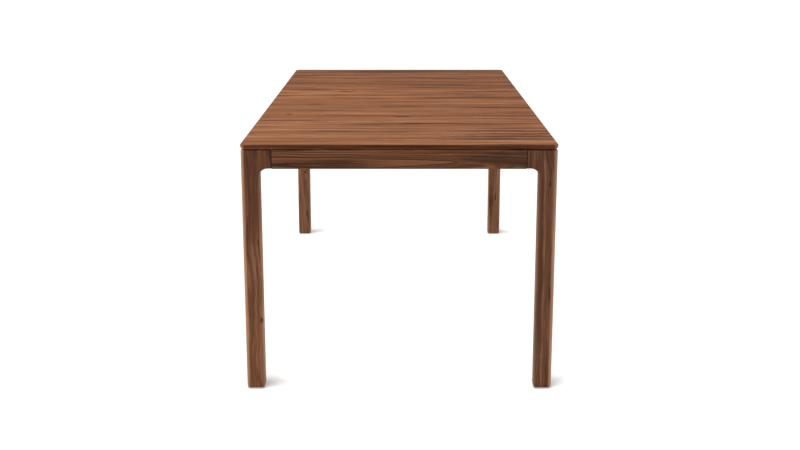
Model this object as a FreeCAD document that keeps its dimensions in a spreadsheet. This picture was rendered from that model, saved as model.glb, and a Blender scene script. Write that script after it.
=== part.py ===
"""Extending dining table: a fixed leg frame, a top split across its middle, and a stored leaf.

The two halves of the top slide apart over the frame on toothed runners, which a pinion on
each side keeps in step. The leaf lies in the well under the top, turned a quarter turn.

Frame: X across the table, Y along it, Z up, origin on the floor under the table's centre.
Lengths are in millimetres. The back half repeats the front half, turned half a turn about Z.
"""
import FreeCAD, Part
import math
import os

import Sketcher

# Driving dimensions
SIZES = {
    # the whole table
    "table_length": 2000.0,
    "table_width": 914.0,
    "table_height": 740.0,
    # top
    "top_thickness": 14.0,
    "top_corner_round": 19.0,
    "top_upper_round": 2.5,
    "top_lower_round": 8.0,
    "shadow_gap": 2.0,
    "seam_gap": 0.4,
    "seam_chamfer": 0.5,
    # legs
    "leg_side": 53.0,
    "leg_inset": 1.5,
    "leg_outer_round": 13.0,
    "leg_inner_round": 8.0,
    "leg_foot_round": 7.0,
    "leg_top_round": 4.0,
    "shoulder_reach": 88.0,
    "shoulder_thickness": 25.0,
    "shoulder_curve": 23.0,
    # rails
    "rail_height": 55.0,
    "rail_thickness": 22.0,
    "rail_recess": 1.0,
    "rail_edge_round": 2.0,
    "joint_chamfer": 1.6,
    "tenon_length": 25.0,
    "tenon_thickness": 10.0,
    "tenon_shoulder": 10.0,
    # cross rails that carry the guides and the stored leaf
    "cross_height": 21.0,
    "cross_width": 50.0,
    "cross_spacing": 400.0,
    "cross_housing": 8.0,
    # corner blocks and their hanger bolts
    "block_near": 106.0,
    "block_far": 142.0,
    "block_height": 22.0,
    "block_lift": 2.0,
    "bolt_diameter": 8.0,
    "bolt_depth": 34.0,
    "bolt_spare": 3.0,
    "washer_diameter": 20.0,
    "washer_thickness": 1.6,
    "nut_width": 13.0,
    "nut_thickness": 6.5,
    # feet
    "glide_diameter": 30.0,
    "glide_height": 2.0,
    "glide_pin_diameter": 6.0,
    "glide_pin_length": 15.0,
    # pads on the rails under the sliding halves
    "pad_diameter": 14.0,
    "pad_clearance": 0.3,
    "pad_end_offset": 250.0,
    "pad_side_offset": 330.0,
    # toothed drive
    "gear_module": 2.5,
    "gear_addendum": 2.3,
    "gear_dedendum": 3.1,
    "gear_height": 14.0,
    "gear_lift": 4.0,
    "gear_backlash": 0.5,
    "rack_back": 4.0,
    "rack_margin": 24.0,
    "axle_diameter": 8.0,
    "axle_shoulder": 14.0,
    "axle_clearance": 0.05,
    "clip_diameter": 13.0,
    "clip_thickness": 1.2,
    "clip_spare": 2.0,
    # guides and runners
    "guide_side_room": 52.7,
    "guide_length": 900.0,
    "guide_base": 6.0,
    "guide_wall": 8.0,
    "guide_drop": 3.0,
    "tongue_lift": 10.0,
    "tongue_height": 5.0,
    "tongue_depth": 5.0,
    "runner_width": 18.0,
    "runner_overlap": 50.0,
    "runner_end_room": 25.0,
    "runner_seam_room": 15.0,
    "runner_relief": 2.4,
    "slide_clearance": 0.3,
    "stop_pin_diameter": 6.0,
    "stop_pin_length": 20.0,
    "stop_pin_setback": 30.0,
    "stop_pin_room": 0.5,
    "stop_pin_lift": 1.0,
    # battens under the halves
    "batten_width": 18.0,
    "batten_height": 18.0,
    "batten_room": 4.0,
    "batten_seam_room": 30.0,
    # room beside the stored leaf, which its dowels reach into
    "leaf_side_room": 23.0,
    # screws
    "screw_diameter": 4.0,
    "screw_head_diameter": 8.0,
    "screw_head_height": 3.0,
    "screw_bite": 9.0,
    "screw_under_top": 18.0,
    "screw_end_room": 60.0,
    "screw_seam_room": 70.0,
    "guide_screw_offset": 20.0,
    # fits: radial room round a pin, bolt or screw
    "pin_room": 0.1,
    "head_room": 0.5,
    # dowels of the seam and of the leaf
    "dowel_diameter": 6.0,
    "dowel_length": 30.0,
    "dowel_reach": 12.0,
    "dowel_spacing": 180.0,
    "dowel_hole_depth": 20.0,
    "dowel_room": 0.3,
    # latches under the seam
    "latch_side_room": 123.0,
    "latch_setback": 40.0,
    "latch_length": 60.0,
    "latch_width": 20.0,
    "latch_end_round": 9.0,
    "latch_thickness": 4.0,
    "latch_drop": 6.0,
    "latch_pin_diameter": 6.0,
    "latch_pin_head": 12.0,
    "latch_room": 0.3,
    "knob_reach": 34.0,
    "knob_diameter": 12.0,
    "knob_height": 8.0,
    "keeper_front": 8.0,
    "keeper_length": 44.0,
    "keeper_wall": 8.0,
    "keeper_lip": 4.0,
    "keeper_room": 0.6,
}

PRESSURE_ANGLE = math.radians(20.0)
UP = FreeCAD.Vector(0, 0, 1)
TOUCH = 1e-4
CUT_PAST = 1.0
GEAR_TEETH = 16
FLANK_POINTS = 5
UNTURNED = FreeCAD.Rotation()
RIGHT_ANGLE = 90
ALONG_X = FreeCAD.Rotation(UP, FreeCAD.Vector(1, 0, 0))
ALONG_Y = FreeCAD.Rotation(UP, FreeCAD.Vector(0, 1, 0))
ALONG_DIAGONAL = FreeCAD.Rotation(UP, FreeCAD.Vector(1, 1, 0))

doc = FreeCAD.newDocument("extending_table")
sheet = doc.addObject("Spreadsheet::Sheet", "dims")
for row, (alias, number) in enumerate(SIZES.items(), start=1):
    sheet.set(f"A{row}", alias)
    sheet.set(f"B{row}", str(number))
    sheet.setAlias(f"B{row}", alias)
doc.recompute()

nodes = []


class Size:
    """A length that keeps both its number and the sheet expression that drives it."""

    def __init__(self, text, value):
        self.text = text
        self.value = value

    @staticmethod
    def of(other):
        """Return a plain number as a Size, and a Size as it is."""
        if isinstance(other, Size):
            return other
        return Size(f"({other})", float(other))

    def __add__(self, other):
        other = Size.of(other)
        return Size(f"({self.text} + {other.text})", self.value + other.value)

    def __sub__(self, other):
        other = Size.of(other)
        return Size(f"({self.text} - {other.text})", self.value - other.value)

    def __mul__(self, other):
        other = Size.of(other)
        return Size(f"({self.text} * {other.text})", self.value * other.value)

    def __truediv__(self, other):
        other = Size.of(other)
        return Size(f"({self.text} / {other.text})", self.value / other.value)

    def __neg__(self):
        return Size(f"(0 - {self.text})", -self.value)


def dim(alias):
    """Return one driving dimension of the sheet as a Size."""
    return Size(f"dims.{alias}", float(sheet.get(alias)))


# Sizes that follow from the driving dimensions
ZERO = Size.of(0)
half_length = dim("table_length") / 2
half_width = dim("table_width") / 2
frame_half_length = half_length - dim("leg_inset")
frame_half_width = half_width - dim("leg_inset")
top_bottom = dim("table_height") - dim("top_thickness")
frame_top = top_bottom - dim("shadow_gap")
rail_bottom = frame_top - dim("rail_height")
rail_inner = dim("rail_recess") + dim("rail_thickness")
cross_top = rail_bottom + dim("cross_height")
guide_floor = cross_top + dim("guide_base")
runner_bottom = guide_floor + dim("slide_clearance")
gear_bottom = guide_floor + dim("gear_lift")
gear_top = gear_bottom + dim("gear_height")
pitch_radius = dim("gear_module") * GEAR_TEETH / 2
rack_root = pitch_radius + dim("gear_dedendum")
runner_inner = rack_root + dim("rack_back")
runner_outer = runner_inner + dim("runner_width")
guide_inner = runner_outer + dim("slide_clearance")
guide_outer = guide_inner + dim("guide_wall")
guide_centre = frame_half_width - rail_inner - dim("guide_side_room") - guide_outer
leaf_half_width = guide_centre - guide_outer - dim("leaf_side_room")
slide_travel = leaf_half_width
runner_line = (runner_inner + runner_outer - dim("tongue_depth")) / 2
runner_far = frame_half_length - rail_inner - slide_travel - dim("runner_end_room")
runner_near = slide_travel + dim("runner_overlap")
batten_far = frame_half_length - dim("leg_side") - slide_travel - dim("runner_end_room")
batten_inner = guide_centre + guide_outer + dim("batten_room")
batten_middle = batten_inner + dim("batten_width") / 2
screw_seat = top_bottom - dim("screw_under_top")
screw_hole = dim("screw_diameter") + dim("pin_room") * 2
pin_hole_room = dim("pin_room") * 2
stop_pin_place = runner_near - dim("stop_pin_setback")
dowel_height = top_bottom + dim("top_thickness") / 2
leaf_top = cross_top + dim("top_thickness")
latch_centre = guide_centre - guide_outer - dim("latch_side_room")
latch_top = top_bottom - dim("latch_drop")
latch_bottom = latch_top - dim("latch_thickness")
screw_rows = [
    -(runner_far - dim("screw_end_room")),
    -(runner_far + dim("screw_seam_room")) / 2,
    -dim("screw_seam_room"),
]
dowel_rows = [dim("dowel_spacing") * step for step in (-2, -1, 0, 1, 2)]
cross_rows = [-dim("cross_spacing"), ZERO, dim("cross_spacing")]


def quarter_turns(count):
    """Return a rotation about Z by a number of right angles."""
    return FreeCAD.Rotation(UP, RIGHT_ANGLE * count)


def place(thing, x=ZERO, y=ZERO, z=ZERO, rotation=UNTURNED):
    """Bind an object's Placement to three Sizes, after a rotation about its own origin."""
    thing.Placement = FreeCAD.Placement(FreeCAD.Vector(), rotation)
    thing.setExpression("Placement.Base.x", x.text)
    thing.setExpression("Placement.Base.y", y.text)
    thing.setExpression("Placement.Base.z", z.text)


def keep(thing, name):
    """Name an object as one sub-part of the table."""
    thing.Label = name
    nodes.append(thing)
    return thing


def new_body(name):
    """Start a sub-part that is built from sketches."""
    return keep(doc.addObject("PartDesign::Body", name), name)


def new_sketch(body, role, offset):
    """Add a sketch on one of the body's own origin planes, moved along that plane's normal."""
    sketch = body.newObject("Sketcher::SketchObject", f"{body.Name}_sketch")
    plane = next(item for item in body.Origin.OriginFeatures if item.Role == role)
    sketch.AttachmentSupport = [(plane, "")]
    sketch.MapMode = "FlatFace"
    sketch.setExpression("AttachmentOffset.Base.z", offset.text)
    return sketch


def hold(sketch, kind, curve, point, size):
    """Hold a sketch point by its distance from the sketch's origin."""
    rule = Sketcher.Constraint(kind, -1, 1, curve, point, size.value)
    sketch.setExpression(f"Constraints[{sketch.addConstraint(rule)}]", size.text)


def draw_outline(sketch, corners):
    """Draw a closed outline; a corner with a third and fourth item starts an arc.

    The third item is the arc's radius and the fourth a point that it bulges towards.
    """
    first = sketch.GeometryCount
    count = len(corners)
    for index, corner in enumerate(corners):
        following = corners[(index + 1) % count]
        start = FreeCAD.Vector(corner[0].value, corner[1].value, 0)
        end = FreeCAD.Vector(following[0].value, following[1].value, 0)
        if len(corner) == 2:
            curve = Part.LineSegment(start, end)
        else:
            through = FreeCAD.Vector(corner[3][0].value, corner[3][1].value, 0)
            curve = Part.Arc(start, through, end)
        sketch.addGeometry(curve, False)
    ends = []
    for index, corner in enumerate(corners):
        turned = False
        if len(corner) > 2:
            start = FreeCAD.Vector(corner[0].value, corner[1].value, 0)
            turned = sketch.getPoint(first + index, 1).distanceToPoint(start) > TOUCH
        ends.append((2, 1) if turned else (1, 2))
    for index, corner in enumerate(corners):
        following = (index + 1) % count
        rule = Sketcher.Constraint(
            "Coincident", first + index, ends[index][1], first + following, ends[following][0])
        sketch.addConstraint(rule)
        hold(sketch, "DistanceX", first + index, ends[index][0], corner[0])
        hold(sketch, "DistanceY", first + index, ends[index][0], corner[1])
        if len(corner) > 2:
            rule = Sketcher.Constraint("Radius", first + index, corner[2].value)
            sketch.setExpression(f"Constraints[{sketch.addConstraint(rule)}]", corner[2].text)


def draw_circle(sketch, x, y, diameter):
    """Draw a circle that is held at its centre and by its diameter."""
    centre = FreeCAD.Vector(x.value, y.value, 0)
    curve = sketch.addGeometry(Part.Circle(centre, UP, diameter.value / 2), False)
    hold(sketch, "DistanceX", curve, 3, x)
    hold(sketch, "DistanceY", curve, 3, y)
    rule = Sketcher.Constraint("Diameter", curve, diameter.value)
    sketch.setExpression(f"Constraints[{sketch.addConstraint(rule)}]", diameter.text)


def rectangle(x_low, x_high, y_low, y_high):
    """Return the four corners of an upright rectangle."""
    return [(x_low, y_low), (x_high, y_low), (x_high, y_high), (x_low, y_high)]


def add_prism(body, role, outline, low, high):
    """Add material: an outline on an origin plane, between two places along its axis."""
    offset = -high if role == "XZ_Plane" else low
    sketch = new_sketch(body, role, offset)
    draw_outline(sketch, outline)
    pad = body.newObject("PartDesign::Pad", f"{body.Name}_pad")
    pad.Profile = sketch
    pad.setExpression("Length", (high - low).text)
    sketch.Visibility = False
    return pad


def cut_prism(body, role, low, high, outlines=(), circles=()):
    """Cut outlines and circles through the body between two places along the plane's axis."""
    offset = -low if role == "XZ_Plane" else high
    sketch = new_sketch(body, role, offset)
    for outline in outlines:
        draw_outline(sketch, outline)
    for x, y, diameter in circles:
        draw_circle(sketch, x, y, diameter)
    doc.recompute()
    before = body.Shape.Volume
    pocket = body.newObject("PartDesign::Pocket", f"{body.Name}_pocket")
    pocket.Profile = sketch
    pocket.setExpression("Length", (high - low).text)
    sketch.Visibility = False
    doc.recompute()
    if body.Shape.Volume > before - TOUCH:
        raise ValueError(f"{body.Label}: a pocket cut nothing")
    return pocket


def add_disc(body, x, y, diameter, low, high):
    """Add an upright round boss to the body between two heights."""
    sketch = new_sketch(body, "XY_Plane", low)
    draw_circle(sketch, x, y, diameter)
    pad = body.newObject("PartDesign::Pad", f"{body.Name}_pad")
    pad.Profile = sketch
    pad.setExpression("Length", (high - low).text)
    sketch.Visibility = False
    return pad


def cut_bolt_hole(body, diameter, reach, start, height):
    """Cut a round hole along the plan's diagonal, from a start distance outwards."""
    hole = body.newObject("PartDesign::SubtractiveCylinder", f"{body.Name}_hole")
    plane = next(item for item in body.Origin.OriginFeatures if item.Role == "XY_Plane")
    hole.AttachmentSupport = [(plane, "")]
    hole.MapMode = "FlatFace"
    hole.AttachmentOffset = FreeCAD.Placement(FreeCAD.Vector(), ALONG_DIAGONAL)
    along = start / math.sqrt(2)
    hole.setExpression("AttachmentOffset.Base.x", along.text)
    hole.setExpression("AttachmentOffset.Base.y", along.text)
    hole.setExpression("AttachmentOffset.Base.z", height.text)
    hole.setExpression("Radius", (diameter / 2).text)
    hole.setExpression("Height", reach.text)
    return hole


def round_edges(body, kind, size, wanted):
    """Fillet or chamfer every edge of the body whose middle point passes the test."""
    doc.recompute()
    base = body.Tip
    names = []
    for index, edge in enumerate(base.Shape.Edges, start=1):
        span = (edge.FirstParameter + edge.LastParameter) / 2
        if wanted(edge.valueAt(span), edge):
            names.append(f"Edge{index}")
    if not names:
        raise ValueError(f"{body.Label}: no edge to ease")
    feature = body.newObject(f"PartDesign::{kind}", f"{body.Name}_{kind.lower()}")
    feature.Base = (base, names)
    feature.setExpression("Radius" if kind == "Fillet" else "Size", size.text)
    return feature


def near(first, second):
    """Tell whether two numbers are the same place, to within the modelling tolerance."""
    return abs(first - second) < TOUCH


def is_upright(edge):
    """Tell whether an edge is a straight line along Z."""
    return len(edge.Vertexes) == 2 and near(abs(edge.tangentAt(edge.FirstParameter).z), 1)


# Leg frame

# each corner's side, its end, and the quarter turns that bring the front left corner to it
CORNERS = {
    "front_left": (-1, -1, 0),
    "front_right": (1, -1, 1),
    "back_right": (1, 1, 2),
    "back_left": (-1, 1, 3),
}
block_bottom = rail_bottom + dim("block_lift")
bolt_height = block_bottom + dim("block_height") / 2
block_face = (dim("block_far") + rail_inner) / math.sqrt(2)
bolt_start = dim("leg_side") * math.sqrt(2) - dim("bolt_depth")
bolt_hole = dim("bolt_diameter") + pin_hole_room
tenon_low = rail_bottom + dim("tenon_shoulder")
tenon_high = frame_top - dim("tenon_shoulder")
tenon_front = dim("rail_recess") + (dim("rail_thickness") - dim("tenon_thickness")) / 2
tenon_back = tenon_front + dim("tenon_thickness")


def place_corner(thing, corner):
    """Put a piece that is drawn from a leg's outer corner at one corner of the frame."""
    side, end, quarters = CORNERS[corner]
    place(thing, frame_half_width * side, frame_half_length * end, ZERO, quarter_turns(quarters))


def shoulder_outline():
    """Return a leg shoulder's outline: out to the rail, and a curve down into the post."""
    side = dim("leg_side")
    curve = dim("shoulder_curve")
    lean = curve * (1 - math.sqrt(0.5))
    curve_middle = (side + lean, rail_bottom - lean)
    return [
        (ZERO, rail_bottom - curve),
        (side, rail_bottom - curve, curve, curve_middle),
        (side + curve, rail_bottom),
        (dim("shoulder_reach"), rail_bottom),
        (dim("shoulder_reach"), frame_top),
        (ZERO, frame_top),
    ]


def make_leg(corner):
    """Make one leg: a rounded post with two curved shoulders that take the rails' tenons."""
    body = new_body(f"leg_{corner}")
    side = dim("leg_side")
    reach = dim("shoulder_reach")
    thickness = dim("shoulder_thickness")
    add_prism(body, "XY_Plane", rectangle(ZERO, side, ZERO, side), dim("glide_height"), frame_top)
    add_prism(body, "XZ_Plane", shoulder_outline(), ZERO, thickness)
    add_prism(body, "YZ_Plane", shoulder_outline(), ZERO, thickness)

    def is_outer_edge(point, edge):
        return is_upright(edge) and near(point.x, 0) and near(point.y, 0)

    def is_inner_edge(point, edge):
        low_enough = point.z < rail_bottom.value + TOUCH
        at_front = near(point.y, 0) and point.x > side.value - TOUCH
        at_side = near(point.x, 0) and point.y > side.value - TOUCH
        return low_enough and point.z > dim("glide_height").value + TOUCH and (at_front or at_side)

    def is_back_edge(point, edge):
        return is_upright(edge) and near(point.x, side.value) and near(point.y, side.value)

    def is_foot_edge(point, edge):
        return near(point.z, dim("glide_height").value) and near(
            edge.valueAt(edge.FirstParameter).z, edge.valueAt(edge.LastParameter).z)

    def is_top_edge(point, edge):
        reach_out = max(point.x, point.y)
        outside = min(point.x, point.y) < dim("leg_outer_round").value / 2
        return near(point.z, frame_top.value) and outside and reach_out < reach.value - TOUCH

    def is_joint_edge(point, edge):
        at_end = near(point.x, reach.value) or near(point.y, reach.value)
        return at_end and min(point.x, point.y) < TOUCH

    round_edges(body, "Fillet", dim("leg_outer_round"), is_outer_edge)
    round_edges(body, "Fillet", dim("leg_inner_round"), is_inner_edge)
    round_edges(body, "Fillet", dim("leg_inner_round"), is_back_edge)
    round_edges(body, "Fillet", dim("leg_foot_round"), is_foot_edge)
    round_edges(body, "Fillet", dim("leg_top_round"), is_top_edge)
    round_edges(body, "Chamfer", dim("joint_chamfer"), is_joint_edge)
    mortise = rectangle(tenon_front, tenon_back, tenon_low, tenon_high)
    cut_prism(body, "YZ_Plane", reach - dim("tenon_length"), reach, [mortise])
    cut_prism(body, "XZ_Plane", reach - dim("tenon_length"), reach, [mortise])
    middle = side / 2
    pin_hole = (middle, middle, dim("glide_pin_diameter") + pin_hole_room)
    cut_prism(body, "XY_Plane", ZERO, dim("glide_height") + dim("glide_pin_length"), circles=[pin_hole])
    cut_bolt_hole(body, bolt_hole, dim("bolt_depth"), bolt_start, bolt_height)
    place_corner(body, corner)


for corner in CORNERS:
    make_leg(corner)


def cylinder(name, diameter, length, x, y, z, rotation=UNTURNED):
    """Make a plain round piece that starts at a point and runs along its rotated Z."""
    thing = doc.addObject("Part::Cylinder", name)
    thing.setExpression("Radius", (diameter / 2).text)
    thing.setExpression("Height", length.text)
    place(thing, x, y, z, rotation)
    return thing


def stepped_pin(name, x, y, steps):
    """Make an upright turned pin from stacked steps of diameter, lower and upper height."""
    stack = [cylinder(f"{name}_step", wide, high - low, x, y, low) for wide, low, high in steps]
    pin = doc.addObject("Part::MultiFuse", name)
    pin.Shapes = stack
    return pin


def ring(name, outside, bore, thickness, x, y, z, rotation=UNTURNED):
    """Make a flat ring."""
    cut = doc.addObject("Part::Cut", name)
    cut.Base = cylinder(f"{name}_disc", outside, thickness, x, y, z, rotation)
    cut.Tool = cylinder(f"{name}_bore", bore, thickness, x, y, z, rotation)
    return cut


def group(name, pieces):
    """Keep identical separate pieces as one sub-part."""
    compound = doc.addObject("Part::Compound", name)
    compound.Links = pieces
    return keep(compound, name)


def make_rail(name, half_frame, housings, x, y, quarters):
    """Make a rail of the frame with a tenon at each end, drawn from the frame's outer face."""
    body = new_body(name)
    half_span = half_frame - dim("shoulder_reach")
    half_tenon = half_span + dim("tenon_length")
    front = dim("rail_recess")
    section = rectangle(front, rail_inner, rail_bottom, frame_top)
    add_prism(body, "YZ_Plane", section, -half_span, half_span)

    def is_long_edge(point, edge):
        lower = near(point.z, rail_bottom.value)
        upper = near(point.z, frame_top.value) and near(point.y, front.value)
        return near(point.x, 0) and (lower or upper)

    def is_joint_edge(point, edge):
        outside = point.y < front.value + dim("rail_edge_round").value
        return near(abs(point.x), half_span.value) and outside

    round_edges(body, "Fillet", dim("rail_edge_round"), is_long_edge)
    round_edges(body, "Chamfer", dim("joint_chamfer"), is_joint_edge)
    tenon = rectangle(tenon_front, tenon_back, tenon_low, tenon_high)
    add_prism(body, "YZ_Plane", tenon, -half_tenon, half_tenon)
    if housings:
        half_cross = dim("cross_width") / 2
        pockets = [
            rectangle(row - half_cross, row + half_cross, rail_bottom - CUT_PAST, cross_top)
            for row in housings
        ]
        cut_prism(body, "XZ_Plane", rail_inner - dim("cross_housing"), rail_inner, pockets)
    place(body, x, y, ZERO, quarter_turns(quarters))


def make_cross_rail(name, row):
    """Make a flat cross rail housed in both side rails, with holes for the guides' screws."""
    body = new_body(name)
    half_cross = dim("cross_width") / 2
    half_span = frame_half_width - rail_inner + dim("cross_housing")
    plan = rectangle(-half_span, half_span, -half_cross, half_cross)
    add_prism(body, "XY_Plane", plan, rail_bottom, cross_top)
    holes = guide_screw_places()
    bore = dim("screw_head_diameter") + dim("head_room") * 2
    cut_prism(body, "XY_Plane", rail_bottom, cross_top, circles=[(x, ZERO, screw_hole) for x in holes])
    cut_prism(body, "XY_Plane", rail_bottom, guide_screw_seat, circles=[(x, ZERO, bore) for x in holes])
    place(body, ZERO, row)


def guide_screw_places():
    """Return the places across the table of the screws that hold the two guides."""
    offset = dim("guide_screw_offset")
    return [guide_centre * side + offset * step for side in (-1, 1) for step in (-1, 1)]


guide_screw_seat = rail_bottom + dim("screw_head_height") + dim("head_room")


def make_corner_block(corner):
    """Make the diagonal block that ties two rails behind a leg and takes the hanger bolt."""
    body = new_body(f"corner_block_{corner}")
    plan = [
        (rail_inner, dim("block_near")),
        (rail_inner, dim("block_far")),
        (dim("block_far"), rail_inner),
        (dim("block_near"), rail_inner),
    ]
    add_prism(body, "XY_Plane", plan, block_bottom, block_bottom + dim("block_height"))
    cut_bolt_hole(body, bolt_hole, block_face, dim("bolt_diameter"), bolt_height)
    place_corner(body, corner)


def along_corner(corner, distance):
    """Return the place at a distance from a leg's outer corner along the plan's diagonal."""
    side, end, quarters = CORNERS[corner]
    step = distance / math.sqrt(2)
    x = (frame_half_width - step) * side
    y = (frame_half_length - step) * end
    rotation = FreeCAD.Rotation(UP, FreeCAD.Vector(-side, -end, 0))
    return x, y, bolt_height, rotation


def make_bolts():
    """Make the hanger bolts with their washers and hexagon nuts, one at each corner."""
    bolts = []
    washers = []
    nuts = []
    nut_start = block_face + dim("washer_thickness")
    bolt_end = nut_start + dim("nut_thickness") + dim("bolt_spare")
    loose_bore = dim("bolt_diameter") + pin_hole_room * 2
    for corner in CORNERS:
        start = along_corner(corner, bolt_start)
        bolts.append(cylinder("bolt", dim("bolt_diameter"), bolt_end - bolt_start, *start))
        seat = along_corner(corner, block_face)
        washer = ring("washer", dim("washer_diameter"), loose_bore, dim("washer_thickness"), *seat)
        washers.append(washer)
        nut_place = along_corner(corner, nut_start)
        hexagon = doc.addObject("Part::Prism", "nut_hexagon")
        hexagon.Polygon = 6
        hexagon.setExpression("Circumradius", (dim("nut_width") / math.sqrt(3)).text)
        hexagon.setExpression("Height", dim("nut_thickness").text)
        place(hexagon, *nut_place)
        nut = doc.addObject("Part::Cut", "nut")
        nut.Base = hexagon
        nut.Tool = cylinder("nut_bore", bolt_hole, dim("nut_thickness"), *nut_place)
        nuts.append(nut)
    group("hanger_bolts", bolts)
    group("bolt_washers", washers)
    group("bolt_nuts", nuts)


def make_glides():
    """Make the four foot glides, each a disc with a pin that goes up into its leg."""
    glides = []
    middle = dim("leg_side") / 2
    disc_top = dim("glide_height")
    pin_top = disc_top + dim("glide_pin_length")
    for side, end, quarters in CORNERS.values():
        steps = [
            (dim("glide_diameter"), ZERO, disc_top),
            (dim("glide_pin_diameter"), disc_top, pin_top),
        ]
        x = (frame_half_width - middle) * side
        y = (frame_half_length - middle) * end
        glides.append(stepped_pin("glide", x, y, steps))
    group("foot_glides", glides)


def make_pads():
    """Make the low pads on the rails that the sliding halves run over."""
    middle = dim("rail_recess") + dim("rail_thickness") / 2
    end_y = frame_half_length - middle
    side_x = frame_half_width - middle
    spots = []
    for way in (-1, 1):
        for step in (-1, 1):
            spots.append((dim("pad_end_offset") * step, end_y * way))
        for step in (-2, -1, 1, 2):
            spots.append((side_x * way, dim("pad_side_offset") * step))
    height = dim("shadow_gap") - dim("pad_clearance")
    pads = [cylinder("pad", dim("pad_diameter"), height, x, y, frame_top) for x, y in spots]
    group("slide_pads", pads)


make_rail("end_rail_front", frame_half_width, [], ZERO, -frame_half_length, 0)
make_rail("end_rail_back", frame_half_width, [], ZERO, frame_half_length, 2)
make_rail("side_rail_right", frame_half_length, cross_rows, frame_half_width, ZERO, 1)
make_rail("side_rail_left", frame_half_length, cross_rows, -frame_half_width, ZERO, 3)
for name, row in zip(("front", "middle", "back"), cross_rows):
    make_cross_rail(f"cross_rail_{name}", row)
for corner in CORNERS:
    make_corner_block(corner)
make_bolts()
make_glides()
make_pads()


# Guides and the toothed drive

SIDES = {"left": -1, "right": 1}
HALVES = {"front": (1, UNTURNED), "back": (-1, quarter_turns(2))}
guide_top = frame_top - dim("guide_drop")
tongue_low = guide_floor + dim("tongue_lift")
tongue_high = tongue_low + dim("tongue_height")
stop_pin_low = cross_top + dim("stop_pin_lift")
stop_pin_high = stop_pin_low + dim("stop_pin_length")
axle_shoulder_top = gear_bottom - dim("slide_clearance")
clip_low = gear_top + dim("slide_clearance")
clip_high = clip_low + dim("clip_thickness")


def guide_half_section(side):
    """Return one wall of the guide's section, from its foot outside to its floor inside."""
    tongue = guide_inner - dim("tongue_depth")
    points = [
        (guide_outer, cross_top),
        (guide_outer, guide_top),
        (guide_inner, guide_top),
        (guide_inner, tongue_high),
        (tongue, tongue_high),
        (tongue, tongue_low),
        (guide_inner, tongue_low),
        (guide_inner, guide_floor),
    ]
    return [(x * side, z) for x, z in points]


def make_guide(name, side):
    """Make a fixed guide: a channel whose walls have tongues that hold two runners down."""
    body = new_body(name)
    section = guide_half_section(1) + guide_half_section(-1)[::-1]
    half_guide = dim("guide_length") / 2
    add_prism(body, "XZ_Plane", section, -half_guide, half_guide)
    slot_half = dim("stop_pin_diameter") / 2 + dim("stop_pin_room")
    slot_far = stop_pin_place + slot_half
    slot_near = stop_pin_place - slide_travel - slot_half
    slots = [
        rectangle(-runner_line - slot_half, -runner_line + slot_half, slot_near, slot_far),
        rectangle(runner_line - slot_half, runner_line + slot_half, -slot_far, -slot_near),
    ]
    cut_prism(body, "XY_Plane", cross_top, guide_floor, slots)
    holes = [(ZERO, ZERO, dim("axle_diameter") + pin_hole_room)]
    for step in (-1, 1):
        holes += [(dim("guide_screw_offset") * step, row, screw_hole) for row in cross_rows]
    cut_prism(body, "XY_Plane", cross_top, guide_floor, circles=holes)
    place(body, guide_centre * side)


def make_guide_screws():
    """Make the screws that go up through the cross rails into the guides."""
    head_low = guide_screw_seat - dim("screw_head_height")
    tip = guide_floor - dim("head_room")
    steps = [
        (dim("screw_head_diameter"), head_low, guide_screw_seat),
        (dim("screw_diameter"), guide_screw_seat, tip),
    ]
    spots = [(x, y) for x in guide_screw_places() for y in cross_rows]
    group("guide_screws", [stepped_pin("guide_screw", x, y, steps) for x, y in spots])


def make_axles():
    """Make the fixed axles of the pinions and the clips that hold the pinions on."""
    steps = [
        (dim("axle_diameter"), cross_top, guide_floor),
        (dim("axle_shoulder"), guide_floor, axle_shoulder_top),
        (dim("axle_diameter"), axle_shoulder_top, clip_high + dim("clip_spare")),
    ]
    places = [guide_centre * side for side in SIDES.values()]
    group("pinion_axles", [stepped_pin("axle", x, ZERO, steps) for x in places])
    bore = dim("axle_diameter") + dim("axle_clearance") * 2
    wide = dim("clip_diameter")
    clips = [ring("clip", wide, bore, dim("clip_thickness"), x, ZERO, clip_low) for x in places]
    group("axle_clips", clips)


def polar(radius, angle):
    """Return a plan point at a radius and an angle from the pinion's centre."""
    return FreeCAD.Vector(radius * math.cos(angle), radius * math.sin(angle), 0)


def involute_turn(radius, base_radius):
    """Return the angle that an involute has turned through where it reaches a radius."""
    slope = math.acos(base_radius / radius)
    return math.tan(slope) - slope


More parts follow.
